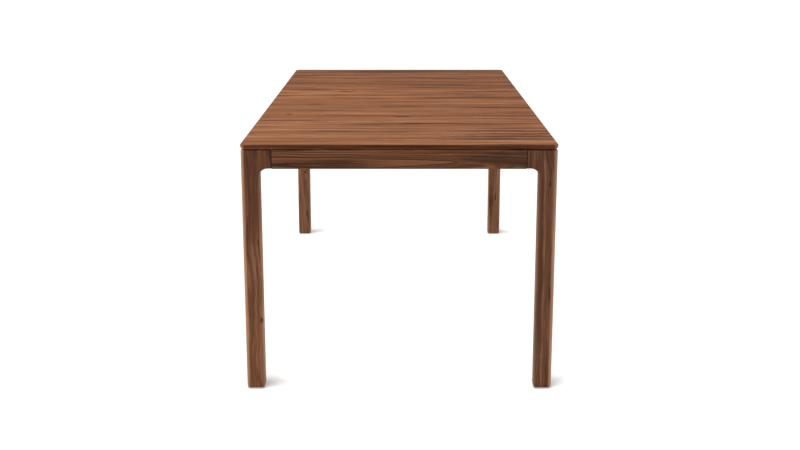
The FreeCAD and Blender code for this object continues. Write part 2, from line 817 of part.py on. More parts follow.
def pinion_outline():
    """Return the pinion's outline: involute flanks, with arcs at the tips and the roots."""
    pitch = pitch_radius.value
    base = pitch * math.cos(PRESSURE_ANGLE)
    tip = pitch + dim("gear_addendum").value
    root = pitch - dim("gear_dedendum").value
    flank_start = max(base, (root + pitch) / 2)
    half_pitch_angle = math.pi / (2 * GEAR_TEETH) - dim("gear_backlash").value / (2 * pitch)

    def half_angle(radius):
        return half_pitch_angle + involute_turn(pitch, base) - involute_turn(radius, base)

    radii = [
        flank_start + (tip - flank_start) * step / (FLANK_POINTS - 1) for step in range(FLANK_POINTS)
    ]
    edges = []
    for tooth in range(GEAR_TEETH):
        middle = 2 * math.pi * tooth / GEAR_TEETH
        following = middle + 2 * math.pi / GEAR_TEETH
        rising = [polar(radius, middle - half_angle(radius)) for radius in radii]
        falling = [polar(radius, middle + half_angle(radius)) for radius in reversed(radii)]
        root_start = polar(root, middle - half_angle(flank_start))
        root_end = polar(root, middle + half_angle(flank_start))
        next_root = polar(root, following - half_angle(flank_start))
        for flank in (rising, falling):
            curve = Part.BSplineCurve()
            curve.interpolate(flank)
            edges.append(curve.toShape())
        edges.append(Part.Arc(rising[-1], polar(tip, middle), falling[0]).toShape())
        edges.append(Part.makeLine(root_start, rising[0]))
        edges.append(Part.makeLine(falling[-1], root_end))
        valley = polar(root, (middle + following) / 2)
        edges.append(Part.Arc(root_end, valley, next_root).toShape())
    return Part.Wire(Part.__sortEdges__(edges))


def make_pinion(name, side):
    """Make a pinion that runs on its axle between the two racks of one side."""
    bore_radius = dim("axle_diameter").value / 2 + dim("axle_clearance").value
    height = dim("gear_height").value
    blank = Part.Face(pinion_outline()).extrude(UP * height)
    pinion = keep(doc.addObject("Part::Feature", name), name)
    pinion.Shape = blank.cut(Part.makeCylinder(bore_radius, height))
    centre = FreeCAD.Vector(guide_centre.value * side, 0, gear_bottom.value)
    pinion.Placement = FreeCAD.Placement(centre, UNTURNED)


def make_rack(name, side, rotation):
    """Make a toothed rack on its runner's inner face, with a gap where the pinion has a tooth."""
    pitch = math.pi * dim("gear_module").value
    rise = math.tan(PRESSURE_ANGLE)
    root_half = pitch / 4 + dim("gear_dedendum").value * rise
    tip_half = pitch / 4 - dim("gear_addendum").value * rise
    back = -runner_inner.value
    root = -rack_root.value
    tip = -(pitch_radius - dim("gear_addendum")).value
    low = -dim("rack_margin").value
    high = (slide_travel + dim("rack_margin")).value
    points = [FreeCAD.Vector(back, low, 0), FreeCAD.Vector(root, low, 0)]
    first = math.ceil((low + root_half) / pitch - 0.5)
    last = math.floor((high - root_half) / pitch - 0.5)
    for tooth in range(first, last + 1):
        middle = (tooth + 0.5) * pitch
        points.append(FreeCAD.Vector(root, middle - root_half, 0))
        points.append(FreeCAD.Vector(tip, middle - tip_half, 0))
        points.append(FreeCAD.Vector(tip, middle + tip_half, 0))
        points.append(FreeCAD.Vector(root, middle + root_half, 0))
    points += [FreeCAD.Vector(root, high, 0), FreeCAD.Vector(back, high, 0), points[0]]
    rack = keep(doc.addObject("Part::Feature", name), name)
    rack.Shape = Part.Face(Part.makePolygon(points)).extrude(UP * dim("gear_height").value)
    centre = FreeCAD.Vector(guide_centre.value * side, 0, gear_bottom.value)
    rack.Placement = FreeCAD.Placement(centre, rotation)


def make_runner(name, side, rotation):
    """Make a runner: a bar grooved for the guide's tongue, lowered where it passes the seam."""
    body = new_body(name)
    groove = runner_outer - dim("tongue_depth")
    groove_low = tongue_low - dim("slide_clearance")
    groove_high = tongue_high + dim("slide_clearance")
    section = [
        (-runner_inner, runner_bottom),
        (-runner_inner, top_bottom),
        (-runner_outer, top_bottom),
        (-runner_outer, groove_high),
        (-groove, groove_high),
        (-groove, groove_low),
        (-runner_outer, groove_low),
        (-runner_outer, runner_bottom),
    ]
    add_prism(body, "XZ_Plane", section, -runner_far, runner_near)
    relief = rectangle(-runner_outer, -runner_inner, -dim("runner_seam_room"), runner_near)
    cut_prism(body, "XY_Plane", top_bottom - dim("runner_relief"), top_bottom, [relief])
    bore = dim("screw_head_diameter") + dim("head_room") * 2
    screw_holes = [(-runner_line, row, screw_hole) for row in screw_rows]
    head_bores = [(-runner_line, row, bore) for row in screw_rows]
    pin_hole = (-runner_line, stop_pin_place, dim("stop_pin_diameter") + pin_hole_room)
    cut_prism(body, "XY_Plane", runner_bottom, top_bottom, circles=screw_holes)
    cut_prism(body, "XY_Plane", runner_bottom, screw_seat, circles=head_bores)
    cut_prism(body, "XY_Plane", runner_bottom, stop_pin_high, circles=[pin_hole])
    place(body, guide_centre * side, ZERO, ZERO, rotation)


for name, side in SIDES.items():
    make_guide(f"guide_{name}", side)
make_guide_screws()
make_axles()
for name, side in SIDES.items():
    make_pinion(f"pinion_{name}", side)


# The two halves of the top

pilot_top = top_bottom + dim("screw_bite")
dowel_hole = dim("dowel_diameter") + dim("dowel_room") * 2
seam_face = -dim("seam_gap") / 2


def top_screw_places():
    """Return the places of the screws that hold the runners and battens of the front half."""
    lines = [guide_centre * side - runner_line for side in SIDES.values()]
    lines += [batten_middle * side for side in SIDES.values()]
    return [(x, row) for x in lines for row in screw_rows]


def make_top_panel(name, rotation):
    """Make one half of the top, with eased edges, dowel holes at the seam and pilot holes."""
    body = new_body(name)
    upper = dim("table_height")
    plan = rectangle(-half_width, half_width, -half_length, seam_face)
    add_prism(body, "XY_Plane", plan, top_bottom, upper)

    def is_corner(point, edge):
        return is_upright(edge) and near(point.y, -half_length.value)

    def is_upper_edge(point, edge):
        return near(point.z, upper.value) and point.y < seam_face.value - TOUCH

    def is_lower_edge(point, edge):
        return near(point.z, top_bottom.value) and point.y < seam_face.value - TOUCH

    def is_seam_edge(point, edge):
        return near(point.z, upper.value) and near(point.y, seam_face.value)

    round_edges(body, "Fillet", dim("top_corner_round"), is_corner)
    round_edges(body, "Fillet", dim("top_upper_round"), is_upper_edge)
    round_edges(body, "Fillet", dim("top_lower_round"), is_lower_edge)
    round_edges(body, "Chamfer", dim("seam_chamfer"), is_seam_edge)
    dowel_holes = [(row, dowel_height, dowel_hole) for row in dowel_rows]
    cut_prism(body, "XZ_Plane", seam_face - dim("dowel_hole_depth"), seam_face, circles=dowel_holes)
    pilots = [(x, y, screw_hole) for x, y in top_screw_places()]
    latch_row = -dim("latch_setback")
    pilots += [(latch_centre * side, latch_row, screw_hole) for side in SIDES.values()]
    cut_prism(body, "XY_Plane", top_bottom, pilot_top, circles=pilots)
    place(body, ZERO, ZERO, ZERO, rotation)


def make_batten(name, side, rotation):
    """Make a batten that keeps the crosswise boards of one half flat."""
    body = new_body(name)
    edges = sorted((batten_inner * side, (batten_inner + dim("batten_width")) * side),
                   key=lambda size: size.value)
    plan = rectangle(*edges, -batten_far, -dim("batten_seam_room"))
    bottom = top_bottom - dim("batten_height")
    add_prism(body, "XY_Plane", plan, bottom, top_bottom)
    line = batten_middle * side
    holes = [(line, row, screw_hole) for row in screw_rows]
    cut_prism(body, "XY_Plane", bottom, top_bottom, circles=holes)
    place(body, ZERO, ZERO, ZERO, rotation)


def make_top_screws(name, way):
    """Make the screws that go up through the runners and battens of one half into its panel."""
    steps = [
        (dim("screw_head_diameter"), screw_seat - dim("screw_head_height"), screw_seat),
        (dim("screw_diameter"), screw_seat, pilot_top),
    ]
    screws = [stepped_pin("top_screw", x * way, y * way, steps) for x, y in top_screw_places()]
    group(name, screws)


def make_stop_pins(name, way):
    """Make the pins under the runners of one half that meet the ends of the guides' slots."""
    pins = []
    wide = dim("stop_pin_diameter")
    length = dim("stop_pin_length")
    for side in SIDES.values():
        x = (guide_centre * side - runner_line) * way
        pins.append(cylinder("stop_pin", wide, length, x, stop_pin_place * way, stop_pin_low))
    group(name, pins)


def make_seam_dowels():
    """Make the dowels of the front half that line up the two halves at the seam."""
    wide = dim("dowel_diameter")
    length = dim("dowel_length")
    start = seam_face - length + dim("dowel_reach")
    dowels = [
        cylinder("seam_dowel", wide, length, row, start, dowel_height, ALONG_Y) for row in dowel_rows
    ]
    group("seam_dowels", dowels)


for half, (way, rotation) in HALVES.items():
    make_top_panel(f"top_panel_{half}", rotation)
    for name, side in SIDES.items():
        make_runner(f"runner_{half}_{name}", side, rotation)
        make_rack(f"rack_{half}_{name}", side, rotation)
        make_batten(f"batten_{half}_{name}", side * way, rotation)
    make_top_screws(f"top_screws_{half}", way)
    make_stop_pins(f"stop_pins_{half}", way)
make_seam_dowels()


# Latches under the seam

slot_low = latch_bottom - dim("keeper_room")
slot_high = latch_top + dim("keeper_room")


def make_latch(name, side):
    """Make a latch lever with a finger knob, lying along the seam where it lets go."""
    body = new_body(f"latch_lever_{name}")
    half = dim("latch_width") / 2
    plan = rectangle(-half, dim("latch_length"), -half, half)
    add_prism(body, "XY_Plane", plan, latch_bottom, latch_top)
    round_edges(body, "Fillet", dim("latch_end_round"), lambda point, edge: is_upright(edge))
    knob_low = latch_bottom - dim("knob_height")
    add_disc(body, dim("knob_reach"), ZERO, dim("knob_diameter"), knob_low, latch_bottom)
    bore = dim("latch_pin_diameter") + dim("axle_clearance") * 2
    cut_prism(body, "XY_Plane", latch_bottom, latch_top, circles=[(ZERO, ZERO, bore)])
    place(body, latch_centre * side, -dim("latch_setback"))


def make_latch_pivots():
    """Make the shouldered pivot screws of the latch levers."""
    collar_low = latch_top + dim("latch_room")
    head_high = latch_bottom - dim("latch_room")
    steps = [
        (dim("latch_pin_head"), head_high - dim("screw_head_height"), head_high),
        (dim("latch_pin_diameter"), head_high, collar_low),
        (dim("latch_pin_head"), collar_low, top_bottom),
        (dim("screw_diameter"), top_bottom, pilot_top),
    ]
    row = -dim("latch_setback")
    places = [latch_centre * side for side in SIDES.values()]
    group("latch_pivots", [stepped_pin("latch_pivot", x, row, steps) for x in places])


def make_keeper(name, side):
    """Make a keeper on the back half: a block with a side slot that the lever swings into."""
    body = new_body(f"latch_keeper_{name}")
    half = dim("latch_width") / 2
    stop = -half - dim("keeper_room")
    outside = stop - dim("keeper_wall")
    section = [
        (outside, slot_low - dim("keeper_lip")),
        (half, slot_low - dim("keeper_lip")),
        (half, slot_low),
        (stop, slot_low),
        (stop, slot_high),
        (half, slot_high),
        (half, top_bottom),
        (outside, top_bottom),
    ]
    front = dim("keeper_front")
    add_prism(body, "XZ_Plane", section, front, front + dim("keeper_length"))
    hole = (ZERO, dim("latch_setback"), screw_hole)
    driver = (ZERO, dim("latch_setback"), dim("screw_head_diameter") + dim("head_room") * 2)
    cut_prism(body, "XY_Plane", slot_high, top_bottom, circles=[hole])
    cut_prism(body, "XY_Plane", slot_low - dim("keeper_lip"), slot_low, circles=[driver])
    place(body, latch_centre * side)


def make_keeper_screws():
    """Make the screws that hold the keepers under the back half."""
    steps = [
        (dim("screw_head_diameter"), slot_high - dim("screw_head_height"), slot_high),
        (dim("screw_diameter"), slot_high, pilot_top),
    ]
    places = [latch_centre * side for side in SIDES.values()]
    group("keeper_screws", [stepped_pin("keeper_screw", x, dim("latch_setback"), steps) for x in places])


for name, side in SIDES.items():
    make_latch(name, side)
    make_keeper(name, side)
make_latch_pivots()
make_keeper_screws()


# Stored leaf, turned so that its length lies along the table

def make_leaf():
    """Make the leaf as it is stored: on the cross rails, between the two guides."""
    body = new_body("leaf_panel")
    half_leaf = leaf_half_width
    plan = rectangle(-half_leaf, half_leaf, -half_width, half_width)
    add_prism(body, "XY_Plane", plan, cross_top, leaf_top)

    def is_upper_end(point, edge):
        return near(point.z, leaf_top.value) and near(abs(point.y), half_width.value)

    def is_lower_end(point, edge):
        return near(point.z, cross_top.value) and near(abs(point.y), half_width.value)

    def is_seam_edge(point, edge):
        return near(point.z, leaf_top.value) and near(abs(point.x), half_leaf.value) and near(point.y, 0)

    round_edges(body, "Fillet", dim("top_upper_round"), is_upper_end)
    round_edges(body, "Fillet", dim("top_lower_round"), is_lower_end)
    round_edges(body, "Chamfer", dim("seam_chamfer"), is_seam_edge)
    height = cross_top + dim("top_thickness") / 2
    holes = [(row, height, dowel_hole) for row in dowel_rows]
    for low in (-half_leaf, half_leaf - dim("dowel_hole_depth")):
        cut_prism(body, "YZ_Plane", low, low + dim("dowel_hole_depth"), circles=holes)
    wide = dim("dowel_diameter")
    length = dim("dowel_length")
    start = half_leaf - length + dim("dowel_reach")
    dowels = [cylinder("leaf_dowel", wide, length, start, row, height, ALONG_X) for row in dowel_rows]
    group("leaf_dowels", dowels)


make_leaf()


# Check every object, then write each sub-part

doc.recompute()
for thing in doc.Objects:
    if "Invalid" in thing.State or "Error" in thing.State:
        raise ValueError(f"{thing.Label} failed: {thing.State}")
for thing in nodes:
    if thing.Shape.isNull() or not thing.Shape.isValid() or not thing.Shape.Solids:
        raise ValueError(f"{thing.Label} has no valid solid")

os.makedirs("parts", exist_ok=True)
for thing in nodes:
    thing.Shape.exportStep(os.path.join("parts", f"{thing.Label}.step"))
print(f"{len(nodes)} sub-parts written")
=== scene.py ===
"""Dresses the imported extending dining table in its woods, metals and nylon, and sets up the studio."""

import logging
import math
from dataclasses import dataclass, field, replace
from enum import Enum
from functools import reduce
from typing import Any, Union

import bmesh
import bpy
from mathutils import Color, Matrix, Vector

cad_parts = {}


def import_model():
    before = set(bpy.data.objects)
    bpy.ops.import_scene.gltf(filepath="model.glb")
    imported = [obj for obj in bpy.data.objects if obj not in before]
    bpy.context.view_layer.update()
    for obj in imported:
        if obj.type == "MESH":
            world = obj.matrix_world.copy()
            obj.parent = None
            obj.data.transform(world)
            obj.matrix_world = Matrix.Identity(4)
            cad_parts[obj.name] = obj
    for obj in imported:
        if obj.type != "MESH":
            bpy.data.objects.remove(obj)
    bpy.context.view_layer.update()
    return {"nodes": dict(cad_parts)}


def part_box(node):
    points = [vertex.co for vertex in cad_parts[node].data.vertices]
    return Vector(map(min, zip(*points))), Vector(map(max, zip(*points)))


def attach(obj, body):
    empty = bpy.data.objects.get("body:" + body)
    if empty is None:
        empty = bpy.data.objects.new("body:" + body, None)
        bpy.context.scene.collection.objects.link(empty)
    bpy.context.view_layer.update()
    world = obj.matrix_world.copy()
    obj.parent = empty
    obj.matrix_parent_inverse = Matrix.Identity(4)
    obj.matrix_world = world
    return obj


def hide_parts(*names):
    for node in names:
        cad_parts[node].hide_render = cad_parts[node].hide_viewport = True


log = logging.getLogger("dining_table")

Triple = tuple[float, float, float]
Colour = tuple[float, float, float, float]
Operand = Union["Field", float]
Settings = dict[str, Any]
Inputs = dict[str | int, Any]

WHITE: Colour = (1.0, 1.0, 1.0, 1.0)
ENDS = ("front", "back")
SIDES = ("left", "right")


def srgb(red: int, green: int, blue: int) -> Colour:
    """Turn screen values from 0 to 255 into the linear colour that shaders take, with full alpha."""
    screen = Color((red / 255.0, green / 255.0, blue / 255.0))
    return (*screen.from_srgb_to_scene_linear(), 1.0)


class Field:
    """A value that varies over a surface: one node socket that takes part in Python arithmetic."""

    def __init__(self, tree: "NodeTree", socket: bpy.types.NodeSocket) -> None:
        """Wrap a socket of a shader tree."""
        self.tree = tree
        self.socket = socket

    def math(self, operation: str, *others: Operand) -> "Field":
        """Add a Math node that starts from this value.

        Args:
            operation: The Math node's operation.
            others: Its further operands, fields or plain numbers.

        Returns:
            The node's result.
        """
        inputs = dict(enumerate((self, *others)))
        return self.tree.result("ShaderNodeMath", {"operation": operation}, inputs)

    def __add__(self, other: Operand) -> "Field":
        """Add a value."""
        return self.math("ADD", other)

    __radd__ = __add__

    def __sub__(self, other: Operand) -> "Field":
        """Take a value away."""
        return self.math("SUBTRACT", other)

    def __rsub__(self, other: float) -> "Field":
        """Take this away from a number."""
        return (self * -1.0) + other

    def __mul__(self, other: Operand) -> "Field":
        """Multiply by a value."""
        return self.math("MULTIPLY", other)

    __rmul__ = __mul__

    def __truediv__(self, other: Operand) -> "Field":
        """Divide by a value."""
        return self.math("DIVIDE", other)

    def __abs__(self) -> "Field":
        """Drop the sign."""
        return self.math("ABSOLUTE")

    def power(self, exponent: float) -> "Field":
        """Raise to a power."""
        return self.math("POWER", exponent)

    def least(self, other: Operand) -> "Field":
        """Take the smaller of two values."""
        return self.math("MINIMUM", other)

    def most(self, other: Operand) -> "Field":
        """Take the larger of two values."""
        return self.math("MAXIMUM", other)

    def between(self, low: float, high: float) -> "Field":
        """Rise smoothly from 0 at low to 1 at high, or fall if low is the larger."""
        inputs = {"Value": self, "From Min": low, "From Max": high}
        return self.tree.result("ShaderNodeMapRange", {"interpolation_type": "SMOOTHSTEP"}, inputs)



Spot = tuple[Field, Field, Field]


def strongest(*masks: Operand) -> Operand:
    """Return the largest of several masks at each place, or 0 if none of them varies."""
    fields = [mask for mask in masks if isinstance(mask, Field)]
    return reduce(Field.most, fields) if fields else 0.0


class NodeTree:
    """The nodes of a material or of the room, all added in one way."""

    def __init__(self, tree: bpy.types.NodeTree) -> None:
        """Start with an empty tree."""
        self.tree = tree
        self.tree.nodes.clear()

    def add(self, kind: str, settings: Settings | None = None,
            inputs: Inputs | None = None) -> bpy.types.Node:
        """Add a node, set it up and feed its sockets.

        Args:
            kind: The node's type.
            settings: Its properties; stops and interpolation are those of its ramp.
            inputs: Numbers, colours, vectors or fields by socket name or index.

        Returns:
            The new node.
        """
        node = self.tree.nodes.new(kind)
        for key, value in (settings or {}).items():
            if key == "stops":
                self.set_stops(node.color_ramp, value)
            elif key == "interpolation":
                node.color_ramp.interpolation = value
            else:
                setattr(node, key, value)
        for key, value in (inputs or {}).items():
            self.feed(node.inputs[key], value)
        return node

    def set_stops(self, ramp: bpy.types.ColorRamp, stops: list[tuple[float, Colour]]) -> None:
        """Give a ramp its stops.

        Args:
            ramp: A new ramp.
            stops: Their positions, in rising order, and their colours.
        """
        while len(ramp.elements) < len(stops):
            ramp.elements.new(1.0)
        for element, (position, colour) in zip(ramp.elements, stops):
            element.position = position
            element.color = colour

    def feed(self, socket: bpy.types.NodeSocket, value: Any) -> None:
        """Link a field to a socket, or set a plain value on it.

        Args:
            socket: A socket of one of this tree's nodes.
            value: A field, number, colour or vector.
        """
        if isinstance(value, Field):
            self.tree.links.new(value.socket, socket)
        else:
            socket.default_value = value

    def result(self, kind: str, settings: Settings | None = None, inputs: Inputs | None = None,
               output: str | int = 0) -> Field:
        """Add a node and return one of its outputs as a field.

        Args:
            kind: The node's type.
            settings: Its properties.
            inputs: What its sockets take.
            output: The name or index of the output to return.

        Returns:
            That output.
        """
        return Field(self, self.add(kind, settings, inputs).outputs[output])

    def seen(self) -> Field:
        """Tell rays from the camera, from reflections and through glass from all others.

        Returns:
            1 for such rays and 0 for others.
        """
        rays = self.add("ShaderNodeLightPath").outputs
        kinds = ("Is Camera Ray", "Is Glossy Ray", "Is Transmission Ray")
        return reduce(Field.most, [Field(self, rays[kind]) for kind in kinds])

    def place(self) -> Field:
        """Return the place on the object, in metres."""
        return self.result("ShaderNodeTexCoord", output="Object")

    def axes(self, vector: Field) -> Spot:
        """Split a vector into its three parts."""
        node = self.add("ShaderNodeSeparateXYZ", inputs={0: vector})
        return tuple(Field(self, socket) for socket in node.outputs)

    def join(self, x: Operand, y: Operand, z: Operand) -> Field:
        """Make a vector from three values."""
        return self.result("ShaderNodeCombineXYZ", inputs={0: x, 1: y, 2: z})

    def mapped(self, vector: Field, scale: Triple, shift: Triple = (0.0, 0.0, 0.0)) -> Field:
        """Scale a vector and move it."""
        inputs = {"Vector": vector, "Location": shift, "Scale": scale}
        return self.result("ShaderNodeMapping", inputs=inputs)

    def ramp(self, value: Field, stops: list[tuple[float, Colour]], hard: bool = False) -> Field:
        """Turn a value into a colour by a ramp, with hard steps where wanted."""
        settings = {"stops": stops, "interpolation": "CONSTANT" if hard else "EASE"}
        return self.result("ShaderNodeValToRGB", settings, {"Fac": value}, output="Color")

    def blend(self, share: Operand, base: Any, over: Any) -> Field:
        """Lay one colour over another.

        Args:
            share: How much of the second colour shows.
            base: The colour beneath, a field or a plain colour.
            over: The colour on top, a field or a plain colour.

        Returns:
            The blended colour.
        """
        inputs = {"Factor": share, 6: base, 7: over}
        return self.result("ShaderNodeMix", {"data_type": "RGBA"}, inputs, output=2)


class ShaderTree(NodeTree):
    """The nodes of one material, with its surface shader ready to be fed."""

    def __init__(self, name: str) -> None:
        """Start a material that holds a surface shader and its output.

        Args:
            name: The material's name.
        """
        self.material = bpy.data.materials.new(name)
        self.material.use_nodes = True
        super().__init__(self.material.node_tree)
        self.shader = self.add("ShaderNodeBsdfPrincipled")
        self.surface = Field(self, self.shader.outputs[0])
        self.output = self.add("ShaderNodeOutputMaterial", inputs={"Surface": self.surface})

    def dress(self, colour: Any, roughness: Operand, height: Field, depth: float, **fixed: float) -> None:
        """Feed the surface shader.

        Args:
            colour: Base colour.
            roughness: Roughness of the surface.
            height: Relief of the surface, in shares of depth.
            depth: Height of the relief in metres.
            fixed: Further sockets of the shader that take one number, with _ for a space.
        """
        bump = self.result("ShaderNodeBump", inputs={"Strength": 1.0, "Distance": depth, "Height": height})
        for name, value in {"Base_Color": colour, "Roughness": roughness, "Normal": bump, **fixed}.items():
            self.feed(self.shader.inputs[name.replace("_", " ")], value)


@dataclass(frozen=True)
class Layer:
    """One layer of noise: how fine it is along each axis, and how rough."""

    scale: Triple
    detail: float
    roughness: float = 0.5
    distortion: float = 0.0

    def read(self, tree: NodeTree, place: Field, shift: Triple = (0.0, 0.0, 0.0)) -> Field:
        """Read the layer at a place, around 0."""
        inputs = {"Vector": tree.mapped(place, self.scale, shift), "Scale": 1.0, "Detail": self.detail,
                  "Roughness": self.roughness, "Distortion": self.distortion}
        return tree.result("ShaderNodeTexNoise", inputs=inputs, output="Fac") - 0.5


# What a wood's figure is made of, across, through and along the grain.
SWING = Layer((6.0, 6.0, 5.0), 2.0)
BANDS = Layer((13.0, 13.0, 1.3), 4.0, 0.6, 0.5)
STREAKS = Layer((62.0, 62.0, 3.4), 5.0, 0.7, 0.45)
FIBRES = Layer((300.0, 300.0, 7.0), 3.0, 0.65)
PORES = Layer((900.0, 900.0, 26.0), 1.0)
STAINS = Layer((30.0, 30.0, 2.4), 3.0, 0.6, 0.9)
RAGGED = Layer((30.0, 150.0, 1.0), 3.0)

# Growth rings, read in ring widths.
RINGS = Layer((1.0, 1.0, 1.0), 3.0, 0.6)

# What the skins of metal and nylon are made of.
TARNISH = Layer((60.0, 60.0, 60.0), 4.0, 0.6)
BRUSHED = Layer((240.0, 3200.0, 900.0), 2.0, 0.6)
PEEL = Layer((1400.0, 1400.0, 1400.0), 2.0)
MOTTLE = Layer((90.0, 90.0, 90.0), 4.0, 0.6)
SKIN = Layer((2200.0, 2200.0, 2200.0), 2.0)


class Grain(Enum):
    """How a piece was cut: its axes across the board, through the board and along the grain."""

    ACROSS_FLAT = (1, 2, 0)
    ACROSS_ON_EDGE = (2, 1, 0)
    ALONG_FLAT = (0, 2, 1)
    ALONG_ON_EDGE = (2, 0, 1)
    UPRIGHT = (0, 1, 2)


@dataclass(frozen=True)
class Knot:
    """A dark knot or streak in a board, by its middle and its half size along and across the grain.

    With a place through the board given, it ends inside a thick piece, at sink times its width. Otherwise
    it goes right through. Its ragged rim moves by fray, and it darkens between the two shares in fade.
    """

    along: float
    across: float
    length: float
    width: float
    strength: float = 0.85
    through: float | None = None
    fray: float = 1.3
    sink: float = 3.0
    fade: tuple[float, float] = (1.0, 0.25)

    def mask(self, tree: NodeTree, spot: Spot) -> Field:
        """Return the knot's strength inside it, fading to 0 round it.

        Args:
            tree: The material's nodes.
            spot: The place across, through and along the piece.

        Returns:
            How dark the knot is at each place.
        """
        across, depth, along = spot
        ragged = RAGGED.read(tree, tree.join(along, across, self.across)) * self.fray
        out = (along - self.along) / self.length
        up = (across - self.across) / self.width
        reach = out * out + up * up
        if self.through is not None:
            inward = (depth - self.through) / (self.sink * self.width)
            reach = reach + inward * inward
        return (reach.power(0.5) + ragged).between(*self.fade) * self.strength


@dataclass(frozen=True)
class Tongue:
    """A pale pointed tongue between dark lines, where a board is cut across its rings.

    The tip is its end along the grain on the table's right, and height its place across. To the left it
    sinks by lean for each metre and fades out at reach. One length from the tip it is two widths broad.
    Distances from its outline are in half widths. The outline and its echoes are dark lines, each at such a
    distance and with a share of the drop. Between the distances in hold the wood's own figure gives way.
    """

    tip: float
    height: float
    length: float
    width: float
    lean: float
    reach: float
    line: float = 0.5
    blunt: float = 0.02
    echoes: tuple[tuple[float, float], ...] = ((0.0, 1.0), (1.25, 0.45), (2.4, 0.3))
    hold: tuple[float, float] = (3.4, 1.6)
    cover: float = 0.85
    ground: float = 0.42
    lift: float = 0.27
    drop: float = 0.34

    def outside(self, across: Field, along: Field) -> Field:
        """Measure how far each place lies from the outline.

        Args:
            across: The place across the board.
            along: The place along the board.

        Returns:
            The distance in half widths, below 0 inside.
        """
        back = self.tip - along
        off = abs(across - self.height + back * self.lean) / self.width
        ahead = (along - self.tip).most(0.0) / self.blunt
        return off - (back.most(0.0) / self.length).power(0.5) + ahead

    def tone(self, outside: Field) -> Field:
        """Return the wood's tone: pale inside, with a dark outline and fainter lines outside it."""
        lines = [abs(outside - ring).between(self.line, 0.0) * share for ring, share in self.echoes]
        return outside.between(0.0, -self.line) * self.lift - strongest(*lines) * self.drop + self.ground

    def lay(self, value: Field, across: Field, along: Field) -> tuple[Field, Field]:
        """Lay the tongue over a wood's tone.

        Args:
            value: The wood's tone.
            across: The place across the board, already swung by the grain.
            along: The place along the board.

        Returns:
            The new tone, and how much of the wood's own figure the tongue takes over.
        """
        outside = self.outside(across, along)
        kept = along.between(self.tip - self.reach, self.tip - self.reach / 2)
        taken = outside.between(*self.hold) * kept * self.cover
        return value + (self.tone(outside) - value) * taken, taken


@dataclass(frozen=True)
class Heart:
    """Where the heart of the tree passes a piece, and how it leans against the grain.

    The first number is across the piece and the second through it, both in metres at its middle.
    """

    place: tuple[float, float]
    lean: tuple[float, float]


@dataclass(frozen=True)
class Shade:
    """A strip of painted shade on the wood, at a distance from the table's middle along one axis."""

    axis: int
    start: float
    full: float
    strength: float

    def mask(self, place: Spot) -> Field:
        """Return the strength of the shade, rising from start to full."""
        return abs(place[self.axis]).between(self.start, self.full) * self.strength


@dataclass(frozen=True)
class CornerHighlight:
    """A painted highlight on a rounded upright corner, pale wood where light catches the rounding."""

    colour: Colour
    start: tuple[float, float]
    round: float
    strength: float
    fray: float = 0.004
    rise: tuple[float, float] = (1.02, 1.38)

    def mask(self, place: Spot, fibres: Field) -> Field:
        """Paint the highlight, strongest at the middle of the rounding.

        Args:
            place: The place on the table.
            fibres: The wood's fibres, which fray the painted highlight.

        Returns:
            How much of the painted highlight shows.
        """
        x, y, _ = place
        out = (abs(x) - self.start[0]).most(0.0) + (abs(y) - self.start[1]).most(0.0)
        low, high = (self.round * share for share in self.rise)
        return (out + fibres * self.fray).between(low, high) * self.strength


@dataclass(frozen=True)
class BoardLines:
    """Where the glued boards of a panel meet, in metres along the table."""

    edges: tuple[float, ...]
    tones: tuple[float, ...]
    width: float = 0.0013
    margin: float = 0.1
    steps: tuple[float, float] = (4.7, 7.3)
    spread: float = 97.0

    def chances(self, tree: NodeTree, y: Field) -> Spot:
        """Give each board values of its own.

        Args:
            tree: The material's nodes.
            y: The place along the table.

        Returns:
            The board's tone, around 0, and two chance values from 0 to 1.
        """
        low, high = self.edges[0] - self.margin, self.edges[-1] + self.margin
        stops = []
        for number, (edge, tone) in enumerate(zip((low, *self.edges), self.tones), start=1):
            parts = [math.modf(abs(math.sin(number * step)) * self.spread)[0] for step in self.steps]
            stops.append(((edge - low) / (high - low), (0.5 + tone, *parts, 1.0)))
        tone, jump, slip = tree.axes(tree.ramp((y - low) / (high - low), stops, hard=True))
        return tone - 0.5, jump, slip

    def lines(self, y: Field) -> Field:
        """Return 1 on the thin lines where boards meet."""
        nearest = reduce(Field.least, [abs(y - edge) for edge in self.edges])
        return nearest.between(self.width, 0.0)


@dataclass(frozen=True)
class Cut:
    """How one piece was cut from the tree, and what its faces show.

    The seed moves it to another place in the tree. Its shades are painted shade, and its corner highlight
    is a painted highlight.
    """

    grain: Grain
    seed: float
    heart: Heart
    boards: BoardLines | None = None
    knots: tuple[Knot, ...] = ()
    shades: tuple[Shade, ...] = ()
    wear: CornerHighlight | None = None
    tongue: Tongue | None = None


